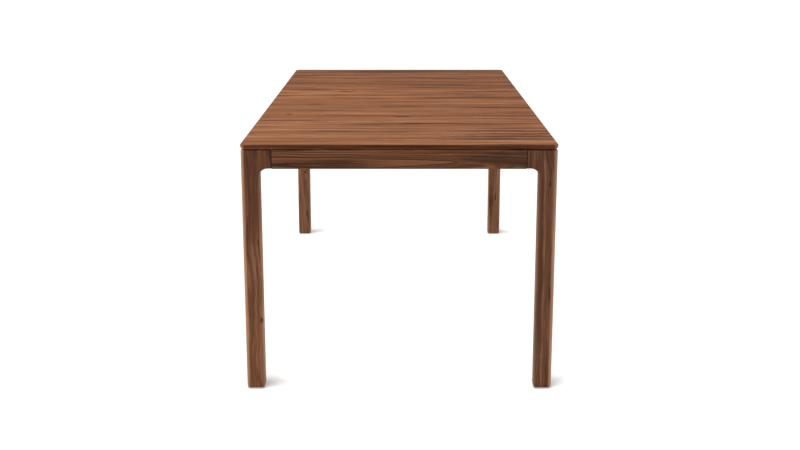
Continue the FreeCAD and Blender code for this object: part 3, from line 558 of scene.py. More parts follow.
@dataclass(frozen=True)
class Wood:
    """An oiled wood that grows as a solid, so that faces, edges and end grain agree.

    The width of a ring and the wave of the grain are in metres, and run stretches the figure along the
    grain. Figure, bands, streaks, fibres, stains and lines say how strongly each of them shows.
    """

    name: str
    pale: Colour
    middle: Colour
    dark: Colour
    pore: Colour
    ring: float
    figure: float
    bands: float
    streaks: float
    stains: float
    lines: float
    run: float
    wave: float
    roughness: float
    gloss: float
    fibres: float = 0.6
    pore_share: float = 0.35
    pore_edge: tuple[float, float] = (0.1, 0.24)
    stain_edge: tuple[float, float] = (0.06, 0.24)
    line_edge: float = 0.065
    joint_share: float = 0.55
    knot_push: float = 0.012
    board_jump: float = 0.9
    board_slip: float = 11.0
    tongue_swing: float = 0.004
    tongue_fray: float = 0.001
    seed_step: Triple = (0.37, 0.21, 1.9)
    ring_drift: float = 0.3
    ring_sway: float = 1.3
    tones: Triple = (0.12, 0.5, 0.88)
    dullness: Triple = (0.16, 0.1, 0.1)
    heights: tuple[float, ...] = (0.5, 0.3, 0.8, 0.6)
    relief: float = 0.00016

    def paint(self, piece: str, cut: Cut) -> bpy.types.Material:
        """Make this wood's material for one piece.

        Args:
            piece: The piece that it is for.
            cut: How the piece was cut, and what it shows.

        Returns:
            The material.
        """
        tree = ShaderTree(f"{self.name}_{piece}")
        place = tree.axes(tree.place())
        spot = tuple(place[axis] for axis in cut.grain.value)
        across, depth, length = spot
        swing = SWING.read(tree, tree.join(*spot), (cut.seed, 0.0, 0.0))
        rings = self.growth_rings(tree, spot, cut, swing)
        knot = strongest(*(knot.mask(tree, spot) for knot in cut.knots))
        tone, jump, slip = cut.boards.chances(tree, across) if cut.boards else (0.0, 0.0, 0.0)
        joint = cut.boards.lines(across) if cut.boards else 0.0
        side = across + swing * self.wave + jump * self.board_jump + knot * self.knot_push
        grown = tree.join(side, depth, length + slip * self.board_slip)
        shift = tuple(step * cut.seed for step in self.seed_step)
        stem = tree.mapped(grown, (1.0, 1.0, 1.0 / self.run), shift)
        bands, streaks, fibres = (layer.read(tree, stem) for layer in (BANDS, STREAKS, FIBRES))
        pores = PORES.read(tree, stem).between(*self.pore_edge)
        stains = STAINS.read(tree, stem).between(*self.stain_edge)
        value = bands * self.bands + streaks * self.streaks + fibres * self.fibres + rings * self.figure
        value = value + tone + 0.5
        taken: Operand = 0.0
        if cut.tongue is not None:
            swung = across + swing * self.tongue_swing + fibres * self.tongue_fray
            value, taken = cut.tongue.lay(value, swung, length)
        colour = tree.ramp(value - stains * self.stains, self.stops())
        late_wood = abs(rings).between(self.line_edge, 0.0) * self.lines * (1.0 - taken)
        colour = tree.blend(late_wood, colour, self.dark)
        colour = tree.blend(pores * self.pore_share, colour, self.pore)
        # Board joints and knots are the wood's own dark marks; the shades are painted shade.
        dark = strongest(joint * self.joint_share, knot, *(shade.mask(place) for shade in cut.shades))
        if isinstance(dark, Field):
            colour = tree.blend(dark, colour, self.pore)
        # Painted highlight on the legs' rounded corners.
        if cut.wear is not None:
            colour = tree.blend(cut.wear.mask(place, fibres), colour, cut.wear.colour)
        dull_fibre, dull_pore, dull_band = self.dullness
        rough = fibres * dull_fibre + pores * dull_pore + bands * dull_band + self.roughness
        high_fibre, high_streak, deep_pore, deep_joint = self.heights
        height = fibres * high_fibre + streaks * high_streak - pores * deep_pore - joint * deep_joint
        tree.dress(colour, rough, height, self.relief, Specular_IOR_Level=self.gloss)
        return tree.material

    def stops(self) -> list[tuple[float, Colour]]:
        """Return the wood's colours by their tone."""
        return list(zip(self.tones, (self.dark, self.middle, self.pale)))

    def growth_rings(self, tree: NodeTree, spot: Spot, cut: Cut, swing: Field) -> Field:
        """Read the growth rings of a slightly bent and leaning stem.

        Args:
            tree: The material's nodes.
            spot: The place across, through and along the piece.
            cut: How the piece was cut.
            swing: How far the stem swings at each place, around 0.

        Returns:
            Ring lines from about -0.5, dark late wood, to 0.5, pale early wood.
        """
        side, depth, along = spot
        heart = cut.heart
        out = side - heart.place[0] + along * heart.lean[0] + swing * (self.ring_sway * self.ring)
        up = depth - heart.place[1] + along * heart.lean[1] + swing * self.ring
        radius = (out * out + up * up).power(0.5)
        return RINGS.read(tree, tree.join(radius / self.ring, along * self.ring_drift, cut.seed))


@dataclass(frozen=True)
class Metal:
    """A plated or coated metal with fine scratches."""

    name: str
    colour: Colour
    shade: Colour
    metallic: float
    roughness: float
    grit: float
    tarnished: tuple[float, float] = (-0.15, 0.2)
    dullness: tuple[float, float] = (0.2, 0.16)
    relief: float = 0.00003

    def paint(self, piece: str) -> bpy.types.Material:
        """Make this metal's material for one piece.

        Args:
            piece: The piece that it is for.

        Returns:
            The material.
        """
        tree = ShaderTree(f"{self.name}_{piece}")
        place = tree.place()
        tarnish, brushed, peel = (layer.read(tree, place) for layer in (TARNISH, BRUSHED, PEEL))
        colour = tree.blend(tarnish.between(*self.tarnished), self.colour, self.shade)
        rough = tarnish * self.dullness[0] + brushed * self.dullness[1] + self.roughness
        height = brushed * (1.0 - self.grit) + peel * self.grit
        tree.dress(colour, rough, height, self.relief, Metallic=self.metallic)
        return tree.material


@dataclass(frozen=True)
class Nylon:
    """A moulded nylon with a faint mottle and a satin skin."""

    name: str
    colour: Colour
    shade: Colour
    roughness: float
    gloss: float = 0.4
    mottled: tuple[float, float] = (-0.2, 0.25)
    dullness: tuple[float, float] = (0.15, 0.12)
    relief: float = 0.00002

    def paint(self, piece: str) -> bpy.types.Material:
        """Make this nylon's material for one piece.

        Args:
            piece: The piece that it is for.

        Returns:
            The material.
        """
        tree = ShaderTree(f"{self.name}_{piece}")
        place = tree.place()
        mottle, skin = (layer.read(tree, place) for layer in (MOTTLE, SKIN))
        colour = tree.blend(mottle.between(*self.mottled), self.colour, self.shade)
        rough = mottle * self.dullness[0] + skin * self.dullness[1] + self.roughness
        tree.dress(colour, rough, skin, self.relief, Specular_IOR_Level=self.gloss)
        return tree.material


WALNUT_TOP = Wood("walnut_top", pale=srgb(186, 127, 86), middle=srgb(150, 95, 61), dark=srgb(80, 48, 32),
                  pore=srgb(46, 29, 22), ring=0.03, figure=0.5, bands=1.3, streaks=2.1, stains=0.42,
                  lines=0.3, run=1.6, wave=0.01, roughness=0.66, gloss=0.03)
WALNUT_LEG = Wood("walnut_leg", pale=srgb(188, 132, 95), middle=srgb(137, 87, 58), dark=srgb(76, 46, 31),
                  pore=srgb(46, 29, 22), ring=0.012, figure=1.0, bands=1.3, streaks=1.1, stains=0.34,
                  lines=0.5, run=1.0, wave=0.045, roughness=0.55, gloss=0.15)
WALNUT_RAIL = Wood("walnut_rail", pale=srgb(186, 122, 84), middle=srgb(138, 87, 58), dark=srgb(70, 43, 29),
                   pore=srgb(40, 25, 19), ring=0.0065, figure=2.4, bands=1.0, streaks=0.9, stains=0.25,
                   lines=0.55, run=1.5, wave=0.02, roughness=0.55, gloss=0.15)
# A lighter and a darker copy of the leg wood: the lighter one is painted light on the back legs, the darker
# one painted shade on the front right leg.
WALNUT_LEG_LIT = replace(WALNUT_LEG, name="walnut_leg_pale", pale=srgb(206, 154, 118),
                          middle=srgb(168, 117, 87), dark=srgb(100, 67, 49))
WALNUT_LEG_SHADED = replace(WALNUT_LEG, name="walnut_leg_shaded", pale=srgb(168, 118, 86),
                          middle=srgb(122, 79, 54), dark=srgb(69, 42, 29))
BEECH = Wood("beech", pale=srgb(222, 186, 144), middle=srgb(206, 166, 122), dark=srgb(172, 128, 88),
             pore=srgb(140, 96, 62), ring=0.006, figure=0.4, bands=0.4, streaks=0.3, stains=0.1,
             lines=0.2, run=1.5, wave=0.01, roughness=0.58, gloss=0.2)
ZINC_STEEL = Metal("zinc_steel", srgb(196, 198, 202), srgb(160, 162, 166), 1.0, 0.34, 0.2)
COATED_STEEL = Metal("coated_steel", srgb(46, 44, 43), srgb(34, 33, 32), 0.0, 0.5, 0.9)
PALE_NYLON = Nylon("pale_nylon", srgb(228, 225, 214), srgb(212, 208, 194), 0.45)
DARK_NYLON = Nylon("dark_nylon", srgb(62, 52, 46), srgb(48, 41, 37), 0.55)


@dataclass
class Dresser:
    """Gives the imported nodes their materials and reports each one."""

    nodes: dict[str, bpy.types.Object]
    dressed: list[str] = field(default_factory=list)
    added: list[bpy.types.Object] = field(default_factory=list)
    seed_gap: float = 0.618
    heart_beside: float = 0.07
    heart_turn: float = 2.4
    heart_lean: tuple[float, float] = (0.03, 0.02)
    heart_sway: tuple[float, float] = (1.7, 2.9)

    def add(self, piece: bpy.types.Object, node: str, body: str) -> None:
        """Let a new piece stand for a node, in its finish and on its body.

        Args:
            piece: The new piece.
            node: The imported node, already dressed.
            body: The body that carries both.
        """
        piece.data.materials.append(self.nodes[node].data.materials[0])
        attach(piece, body)
        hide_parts(node)
        self.added.append(piece)
        log.info("%s stands for %s", piece.name, node)

    def give(self, node: str, material: bpy.types.Material) -> None:
        """Give one node its material.

        Args:
            node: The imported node.
            material: What it wears.
        """
        mesh = self.nodes[node].data
        mesh.materials.clear()
        mesh.materials.append(material)
        self.dressed.append(node)
        log.info("%s wears %s", node, material.name)

    def give_finish(self, finish: Metal | Nylon, *nodes: str) -> None:
        """Give several nodes a metal or a nylon."""
        for node in nodes:
            self.give(node, finish.paint(node))

    def give_wood(self, wood: Wood, grain: Grain, *nodes: str, **shown: Any) -> None:
        """Give several nodes a wood, each from its own place in the tree.

        Args:
            wood: The wood.
            grain: How the nodes were cut.
            nodes: The nodes.
            shown: What else their cut says, such as a heart or knots.
        """
        for node in nodes:
            cut = Cut(grain, **{"seed": self.seed(node), "heart": self.heart(node, grain), **shown})
            self.give(node, wood.paint(node, cut))

    def seed(self, node: str) -> float:
        """Return a number that is the node's own, and the same each time."""
        return 1.0 + sorted(self.nodes).index(node) * self.seed_gap

    def heart(self, node: str, grain: Grain) -> Heart:
        """Choose a heart that passes beside a node and leans a little, different for each node.

        Args:
            node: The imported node.
            grain: How it was cut.

        Returns:
            Its heart.
        """
        low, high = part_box(node)
        middle = (low + high) / 2
        spin = self.seed(node) * self.heart_turn
        side, depth, _ = grain.value
        beside = self.heart_beside
        place = (middle[side] + beside * math.cos(spin), middle[depth] + beside * math.sin(spin))
        first, second = (spin * sway for sway in self.heart_sway)
        lean = (self.heart_lean[0] * math.sin(first), self.heart_lean[1] * math.cos(second))
        return Heart(place, lean)


@dataclass
class SlidingTop:
    """The two halves of the top with what is fixed under them.

    The joints between boards are shares of the top's length. Knots lie in metres from its middle.
    """

    joints: tuple[float, ...] = (0.04, 0.12, 0.2, 0.275, 0.36, 0.43, 0.5, 0.57, 0.64, 0.71,
                                 0.78, 0.85, 0.93)
    # Each board's tone: partly its own, and partly a painted fall of light, lighter on the front boards and
    # darker towards the back.
    tones: tuple[float, ...] = (0.09, 0.13, 0.1, 0.08, -0.05, -0.02, -0.06, -0.09, -0.02, -0.07,
                                -0.05, -0.13, -0.1, -0.15)
    knots: tuple[Knot, ...] = (
        Knot(0.05, -0.6, 0.075, 0.014),
        Knot(0.008, -0.443, 0.04, 0.012),
        Knot(-0.368, -0.39, 0.016, 0.013),
        Knot(-0.201, 0.22, 0.06, 0.017),
        Knot(-0.297, -0.137, 0.045, 0.012),
        Knot(-0.042, -0.218, 0.035, 0.012),
        Knot(0.32, -0.49, 0.16, 0.009),
        Knot(0.32, -0.9, 0.32, 0.027, 0.68),
        Knot(0.33, -0.85, 0.32, 0.028, 0.76),
        Knot(0.36, -0.8, 0.3, 0.028, 0.72),
        Knot(0.37, -0.75, 0.3, 0.024, 0.7),
        Knot(0.38, -0.7, 0.24, 0.02, 0.6),
        Knot(0.2, 0.9, 0.5, 0.08, 0.2),
    )
    seed: float = 3.7
    heart: Heart = Heart((0.1, 0.3), (0.05, 0.04))
    # Painted shade on the halves' end faces: the wood darkens over their last few millimetres.
    end_shade: float = 0.62
    end_fade: tuple[float, float] = (0.0034, 0.001)

    def dress(self, dresser: Dresser) -> None:
        """Give the halves their wood, and the pieces under them theirs.

        Args:
            dresser: What gives out the finishes and keeps count.
        """
        half_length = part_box("top_panel_back")[1].y
        boards = BoardLines(tuple((share - 0.5) * 2.0 * half_length for share in self.joints), self.tones)
        start, full = (half_length - fade for fade in self.end_fade)
        shaded_end_faces = (Shade(1, start, full, self.end_shade),)
        for half in ENDS:
            dresser.give_wood(WALNUT_TOP, Grain.ACROSS_FLAT, f"top_panel_{half}", seed=self.seed,
                              heart=self.heart, boards=boards, knots=self.knots, shades=shaded_end_faces)
            for side in SIDES:
                under = (f"runner_{half}_{side}", f"batten_{half}_{side}")
                dresser.give_wood(BEECH, Grain.ALONG_FLAT, *under)
                dresser.give_finish(PALE_NYLON, f"rack_{half}_{side}")
            dresser.give_finish(ZINC_STEEL, f"top_screws_{half}", f"stop_pins_{half}")
        dresser.give_wood(BEECH, Grain.ALONG_FLAT, "seam_dowels")


@dataclass
class LegFrame:
    """The four legs with the rails, blocks and bolts that join them.

    The eye, the tongue and the streaks of the end rails and the marks of the legs lie in metres in the
    table's frame.
    """

    eye_place: float = -0.2
    eye_height: float = 0.679
    eye_lean: tuple[float, float] = (0.004, 0.032)
    leg_thick: float = 0.053
    leg_round: float = 0.013
    # Painted shade in the grooves where rails meet the legs' shoulders.
    joint_line: float = 0.0019
    joint_shade: float = 0.9
    # Painted highlight on the legs' rounded outer corners, in this colour and strength.
    wear_colour: Colour = srgb(204, 156, 122)
    wear_strength: float = 0.45
    rail_tongue: Tongue = Tongue(0.165, 0.6895, 0.035, 0.005, 0.018, 0.34)
    rail_streaks: tuple[Knot, ...] = (Knot(0.31, 0.7, 0.17, 0.045, 0.4),)
    leg_marks: dict[str, tuple[Knot, ...]] = field(default_factory=lambda: {
        "front_left": (Knot(0.215, -0.406, 0.013, 0.005), Knot(0.451, -0.41, 0.02, 0.005, 0.6)),
        "front_right": (Knot(0.625, 0.435, 0.015, 0.005), Knot(0.3, 0.441, 0.05, 0.004, 0.5)),
        "back_left": (Knot(0.287, -0.423, 0.012, 0.005), Knot(0.093, -0.417, 0.03, 0.006, 0.6)),
        "back_right": (Knot(0.174, 0.434, 0.024, 0.006), Knot(0.3, 0.437, 0.05, 0.004, 0.5)),
    })
    # The back legs wear the lighter copy, painted light; the front right leg the darker copy, painted
    # shade.
    leg_woods: dict[str, Wood] = field(default_factory=lambda: {
        "front_left": WALNUT_LEG,
        "front_right": WALNUT_LEG_SHADED,
        "back_left": WALNUT_LEG_LIT,
        "back_right": WALNUT_LEG_LIT,
    })

    def eye_heart(self, rail: str) -> Heart:
        """Return a heart that runs into an end rail's outer face, where its rings close to an eye."""
        face = max(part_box(rail), key=lambda corner: abs(corner.y)).y
        return Heart((self.eye_height, face + self.eye_lean[1] * self.eye_place), self.eye_lean)

    def leg_knots(self, leg: str, outer: Vector) -> tuple[Knot, ...]:
        """Return the small knots that a leg shows on its front face.

        Args:
            leg: The leg's corner of the table.
            outer: How far the legs reach from the table's middle.

        Returns:
            Its knots.
        """
        face = -outer.y if leg.startswith("front") else outer.y - self.leg_thick
        return tuple(replace(mark, through=face) for mark in self.leg_marks[leg])

    def joint_shades(self, joints: dict[int, float], side: int) -> tuple[Shade, ...]:
        """Return the painted shade in the grooves where rails meet the legs' shoulders.

        Args:
            joints: How far from the table's middle they meet, by axis.
            side: 1 for the leg's side of the line, -1 for the rail's side.

        Returns:
            The strips of painted shade.
        """
        line = side * self.joint_line
        return tuple(Shade(axis, joint + line, joint + line / 2, self.joint_shade)
                     for axis, joint in joints.items())

    def dress(self, dresser: Dresser) -> None:
        """Give the legs, the rails and their fasteners their finish.

        Args:
            dresser: What gives out the finishes and keeps count.
        """
        inner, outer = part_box("leg_back_right")
        # A painted highlight along each leg's rounded outer corner.
        wear = CornerHighlight(self.wear_colour, (outer.x - self.leg_round, outer.y - self.leg_round),
                          self.leg_round, self.wear_strength)
        leg_shades = self.joint_shades({0: inner.x, 1: inner.y}, 1)
        for end in ENDS:
            rail = f"end_rail_{end}"
            dresser.give_wood(WALNUT_RAIL, Grain.ACROSS_ON_EDGE, rail, heart=self.eye_heart(rail),
                              knots=self.rail_streaks, shades=self.joint_shades({0: inner.x}, -1),
                              tongue=self.rail_tongue)
            for side in SIDES:
                corner = f"{end}_{side}"
                dresser.give_wood(self.leg_woods[corner], Grain.UPRIGHT, f"leg_{corner}", wear=wear,
                                  knots=self.leg_knots(corner, outer), shades=leg_shades)
                dresser.give_wood(BEECH, Grain.ACROSS_FLAT, f"corner_block_{corner}")
        side_rails = (f"side_rail_{side}" for side in SIDES)
        dresser.give_wood(WALNUT_RAIL, Grain.ALONG_ON_EDGE, *side_rails,
                          shades=self.joint_shades({1: inner.y}, -1))
        cross_rails = (f"cross_rail_{place}" for place in ("front", "middle", "back"))
        dresser.give_wood(BEECH, Grain.ACROSS_ON_EDGE, *cross_rails)
        dresser.give_finish(ZINC_STEEL, "hanger_bolts", "bolt_washers", "bolt_nuts")
        dresser.give_finish(DARK_NYLON, "foot_glides", "slide_pads")


class SlideDrive:
    """The guides with the toothed drive that moves both halves together."""

    def dress(self, dresser: Dresser) -> None:
        """Give the guides, the pinions and their axles their finish.

        Args:
            dresser: What gives out the finishes and keeps count.
        """
        dresser.give_wood(BEECH, Grain.ALONG_FLAT, *(f"guide_{side}" for side in SIDES))
        dresser.give_finish(ZINC_STEEL, *(f"pinion_{side}" for side in SIDES))
        dresser.give_finish(ZINC_STEEL, "guide_screws", "pinion_axles", "axle_clips")


class SeamLatches:
    """The levers under the seam with their keepers."""

    def dress(self, dresser: Dresser) -> None:
        """Give the levers and the keepers their coat, and their screws bare steel.

        Args:
            dresser: What gives out the finishes and keeps count.
        """
        for side in SIDES:
            dresser.give_finish(COATED_STEEL, f"latch_lever_{side}", f"latch_keeper_{side}")
        dresser.give_finish(ZINC_STEEL, "latch_pivots", "keeper_screws")


class StoredLeaf:
    """The leaf that lies on the cross rails, turned a quarter turn."""

    def dress(self, dresser: Dresser) -> None:
        """Give the leaf the wood of the top, with its grain along the table while it is stored."""
        dresser.give_wood(WALNUT_TOP, Grain.ALONG_FLAT, "leaf_panel")
        dresser.give_wood(BEECH, Grain.ACROSS_FLAT, "leaf_dowels")


@dataclass(frozen=True)
class Seat:
    """Where a packed fastener sits, and how far from its axis the rims of its solid lie at each height."""

    place: Matrix
    rims: tuple[tuple[float, float], ...]

    @classmethod
    def of(cls, points: list[Vector], axis: Vector) -> "Seat":
        """Measure a solid that was turned about an axis.

        Args:
            points: The solid's corners.
            axis: The direction from its foot to its tip.

        Returns:
            The seat, its foot at the solid's lowest point along the axis and its first side to a corner.
        """
        middle = sum(points, Vector()) / len(points)
        low = min((point - middle).dot(axis) for point in points)
        foot = middle + axis * low
        outward = [point - foot - axis * (point - foot).dot(axis) for point in points]
        first = max(outward, key=lambda way: (round(way.length, 5), way.to_tuple(4))).normalized()
        heights = [round((point - foot).dot(axis), 5) for point in points]
        rims = sorted({(height, round(way.length, 5)) for height, way in zip(heights, outward)})
        turn = Matrix((first, axis.cross(first), axis)).transposed().to_4x4()
        return cls(Matrix.Translation(foot) @ turn, tuple(rims))

    def steps(self) -> list[Triple]:
        """Find the steps of a turned solid.

        Returns:
            Each step's radius, and its start and end along the axis.
        """
        heights = sorted({height for height, _ in self.rims})
        found = []
        for start, end in zip(heights, heights[1:]):
            both = [{radius for height, radius in self.rims if height == level} for level in (start, end)]
            found.append((min(both[0] & both[1]), start, end))
        return found


@dataclass
class FineShape:
    """A small turned part, drawn as rims that are bridged one after another."""

    turns: int = 24
    recess_taper: float = 0.6
    weld: float = 1e-7
    mesh: bmesh.types.BMesh = field(default_factory=bmesh.new)
    rims: list[list[bmesh.types.BMEdge]] = field(default_factory=list)

    def rim(self, radius: float, height: float, corners: int = 0) -> None:
        """Add a rim and bridge it to the last one, which must lie at another height.

        Args:
            radius: Distance of the rim, or of its corners, from the axis.
            height: Height above the foot.
            corners: How many corners it has, or 0 for a round rim.
        """
        before = set(self.mesh.edges)
        lift = Matrix.Translation((0.0, 0.0, height))
        bmesh.ops.create_circle(self.mesh, segments=corners or self.turns, radius=radius, matrix=lift)
        if corners:
            sides = [edge for edge in self.mesh.edges if edge not in before]
            bmesh.ops.subdivide_edges(self.mesh, edges=sides, cuts=self.turns // corners - 1)
        self.rims.append([edge for edge in self.mesh.edges if edge not in before])
        if len(self.rims) > 1:
            bmesh.ops.bridge_loops(self.mesh, edges=self.rims[-2] + self.rims[-1])

    def close(self) -> None:
        """Bridge the last rim to the first, as round a bore."""
        bmesh.ops.bridge_loops(self.mesh, edges=self.rims[-1] + self.rims[0])

    def cap(self, end: int) -> bmesh.types.BMFace:
        """Close the first or the last rim with a flat face."""
        made = bmesh.ops.contextual_create(self.mesh, geom=self.rims[end])
        return made["faces"][0]

    def cross_recess(self, face: bmesh.types.BMFace, reach: float, width: float, depth: float) -> None:
        """Sink a tapering cross into the flat face at the foot.

        Args:
            face: The face.
            reach: How far each arm goes from the axis.
            width: Half the width of an arm.
            depth: How deep the cross is.
        """
        flat = [face, *face.edges, *face.verts]
        for axis in (Vector((1, 0, 0)), Vector((0, 1, 0))):
            for distance in (-reach, -width, width, reach):
                cut = bmesh.ops.bisect_plane(self.mesh, geom=flat, dist=self.weld,
                                             plane_co=axis * distance, plane_no=axis)
                flat = cut["geom"]
        cross = []
        for part in flat:
            if isinstance(part, bmesh.types.BMFace):
                small, large = sorted(abs(value) for value in part.calc_center_median().to_2d())
                if small < width and large < reach:
                    cross.append(part)
        sunk = bmesh.ops.extrude_face_region(self.mesh, geom=cross)["geom"]
        bmesh.ops.delete(self.mesh, geom=cross, context="FACES")
        corners = [part for part in sunk if isinstance(part, bmesh.types.BMVert)]
        bmesh.ops.scale(self.mesh, vec=(self.recess_taper, self.recess_taper, 1.0), verts=corners)
        bmesh.ops.translate(self.mesh, vec=(0.0, 0.0, depth), verts=corners)

    def put(self, place: Matrix, onto: bpy.types.Mesh) -> None:
        """Move the shape to its place and write it to a mesh.

        Args:
            place: Where its foot stands and how it is turned.
            onto: An empty mesh.
        """
        bmesh.ops.transform(self.mesh, matrix=place, verts=self.mesh.verts)
        bmesh.ops.recalc_face_normals(self.mesh, faces=self.mesh.faces)
        if self.mesh.calc_volume(signed=True) < 0.0:
            bmesh.ops.reverse_faces(self.mesh, faces=self.mesh.faces)
        self.mesh.to_mesh(onto)
        self.mesh.free()


class Fastener(Enum):
    """The kinds of fastener that are drawn anew."""

    SCREW = "screw"
    STUD = "stud"
    NUT = "nut"


@dataclass
class FineFasteners:
    """The screws, bolts and nuts, drawn anew with recesses, threads and chamfers inside the plain ones."""

    screw_pitch: float = 0.0015
    stud_pitch: float = 0.00125
    thread: float = 0.84
    recess_reach: float = 0.55
    recess_width: float = 0.14
    recess_depth: float = 0.6
    head_round: tuple[tuple[float, float], ...] = ((0.78, 0.0), (0.94, 0.14), (1.0, 0.45))
    screw_point: float = 0.4
    stud_end: float = 0.8
    chamfer: float = 0.13
    nut_face: float = 0.97
    bore_flare: float = 1.1
    slope: float = 0.00005
    sharp: float = 32.0
    weld: float = 1e-6

    def dress(self, dresser: Dresser) -> None:
        """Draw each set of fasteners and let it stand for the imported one.

        Args:
            dresser: What gives out the finishes and keeps count.
        """
        for node, body, kind in (
            ("top_screws_front", "top_front", Fastener.SCREW),
            ("top_screws_back", "top_back", Fastener.SCREW),
            ("latch_pivots", "top_front", Fastener.SCREW),
            ("keeper_screws", "top_back", Fastener.SCREW),
            ("guide_screws", "frame", Fastener.SCREW),
            ("hanger_bolts", "frame", Fastener.STUD),
            ("bolt_nuts", "frame", Fastener.NUT),
        ):
            piece = self.draw_set(dresser.nodes[node], kind)
            dresser.add(piece, node, body)

    def draw_set(self, node: bpy.types.Object, kind: Fastener) -> bpy.types.Object:
        """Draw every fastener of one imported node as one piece.

        Args:
            node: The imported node.
            kind: What its solids are.

        Returns:
            The new piece.
        """
        draw = {Fastener.SCREW: self.screw, Fastener.STUD: self.stud, Fastener.NUT: self.nut}[kind]
        joined = bmesh.new()
        for points in self.solids(node):
            middle = sum(points, Vector()) / len(points)
            inward = Vector([-math.copysign(1.0, value) for value in middle.to_2d()] + [0.0]).normalized()
            seat = Seat.of(points, Vector((0, 0, 1)) if kind is Fastener.SCREW else inward)
            part = bpy.data.meshes.new("part")
            draw(seat).put(seat.place, part)
            joined.from_mesh(part)
            bpy.data.meshes.remove(part)
        mesh = bpy.data.meshes.new(f"fine_{node.name}")
        joined.to_mesh(mesh)
        joined.free()
        mesh.shade_smooth()
        mesh.set_sharp_from_angle(angle=math.radians(self.sharp))
        piece = bpy.data.objects.new(f"fine_{node.name}", mesh)
        bpy.context.scene.collection.objects.link(piece)
        return piece

    def solids(self, node: bpy.types.Object) -> list[list[Vector]]:
        """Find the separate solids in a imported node.

        Args:
            node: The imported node.

        Returns:
            The corners of each solid.
        """
        mesh = bmesh.new()
        mesh.from_mesh(node.data)
        bmesh.ops.remove_doubles(mesh, verts=mesh.verts, dist=self.weld)
        seen: set[bmesh.types.BMVert] = set()
        found = []
        for start in mesh.verts:
            if start in seen:
                continue
            seen.add(start)
            points = []
            waiting = [start]
            while waiting:
                vert = waiting.pop()
                points.append(vert.co.copy())
                beside = [edge.other_vert(vert) for edge in vert.link_edges]
                fresh = [other for other in beside if other not in seen]
                seen.update(fresh)
                waiting.extend(fresh)
            found.append(points)
        mesh.free()
        return found

    def thread_rims(self, shape: FineShape, radius: float, start: float, end: float, pitch: float) -> None:
        """Add the ridges of a thread.

        Args:
            shape: What is being drawn.
            radius: Outer radius of the thread.
            start: Height where it starts.
            end: Height where it ends at the latest.
            pitch: Distance from ridge to ridge.
        """
        count = int((end - start) / pitch)
        for turn in range(count):
            height = start + (turn + 0.25) * pitch
            shape.rim(radius * self.thread, height)
            shape.rim(radius, height + pitch / 2)

    def screw(self, seat: Seat) -> FineShape:
        """Draw a screw with its head at the foot, or a shouldered pivot.

        Args:
            seat: Where it sits, and its rims.

        Returns:
            The drawn shape.
        """
        shape = FineShape()
        (head, _, seat_height), *shanks = seat.steps()
        for share, height in self.head_round:
            shape.rim(head * share, seat_height * height)
        shape.rim(head, seat_height - self.slope)
        for radius, start, end in shanks[:-1]:
            shape.rim(radius, start)
            shape.rim(radius, end - self.slope)
        radius, start, end = shanks[-1]
        shape.rim(radius, start)
        if radius < head:
            self.thread_rims(shape, radius, start, end - radius, self.screw_pitch)
            shape.rim(radius * self.screw_point, end)
        else:
            shape.rim(radius, end)
        shape.cap(-1)
        shape.cross_recess(shape.cap(0), head * self.recess_reach, head * self.recess_width,
                           seat_height * self.recess_depth)
        return shape

    def stud(self, seat: Seat) -> FineShape:
        """Draw a bolt without a head, threaded all along and chamfered at its ends.

        Args:
            seat: Where it sits, and its rims.

        Returns:
            The drawn shape.
        """
        shape = FineShape()
        radius, start, end = seat.steps()[0]
        tip = radius * self.chamfer
        shape.rim(radius * self.stud_end, start)
        self.thread_rims(shape, radius, start + tip, end - tip, self.stud_pitch)
        shape.rim(radius * self.stud_end, end)
        shape.cap(0)
        shape.cap(-1)
        return shape

    def nut(self, seat: Seat) -> FineShape:
        """Draw a hexagon nut whose corners are turned off at both ends.

        Args:
            seat: Where it sits, and its rims.

        Returns:
            The drawn shape.
        """
        shape = FineShape()
        height = seat.rims[-1][0]
        bore, corner = seat.rims[0][1], seat.rims[-1][1]
        flat = corner * math.cos(math.pi / 6)
        cut = height * self.chamfer
        shape.rim(flat * self.nut_face, self.slope)
        shape.rim(corner, cut, corners=6)
        shape.rim(corner, height - cut, corners=6)
        shape.rim(flat * self.nut_face, height - self.slope)
        shape.rim(bore * self.bore_flare, height)
        shape.rim(bore, height - cut)
        shape.rim(bore, cut)
        shape.rim(bore * self.bore_flare, 0.0)
        shape.close()
        return shape


@dataclass(frozen=True)
class SoftSun:
    """A wide, even studio light that comes from one side of the room."""

    name: str
    comes_from: Triple
    spread: float
    strength: float
    distance: float = 4.0

    def build(self, lit: bpy.types.Collection, blockers: bpy.types.Collection | None = None) -> None:
        """Hang the light and turn it towards the table.

        Args:
            lit: What the light falls on.
            blockers: What casts a shadow in it, or None for everything.
        """
        lamp = bpy.data.lights.new(self.name, "SUN")
        lamp.angle = math.radians(self.spread)
        lamp.energy = self.strength
        hung = bpy.data.objects.new(self.name, lamp)
        bpy.context.scene.collection.objects.link(hung)
        hung.location = Vector(self.comes_from) * self.distance
        hung.rotation_euler = (-Vector(self.comes_from)).to_track_quat("-Z", "Y").to_euler()
        hung.light_linking.receiver_collection = lit
        if blockers is not None:
            hung.light_linking.blocker_collection = blockers
        log.info("%s is lit", self.name)


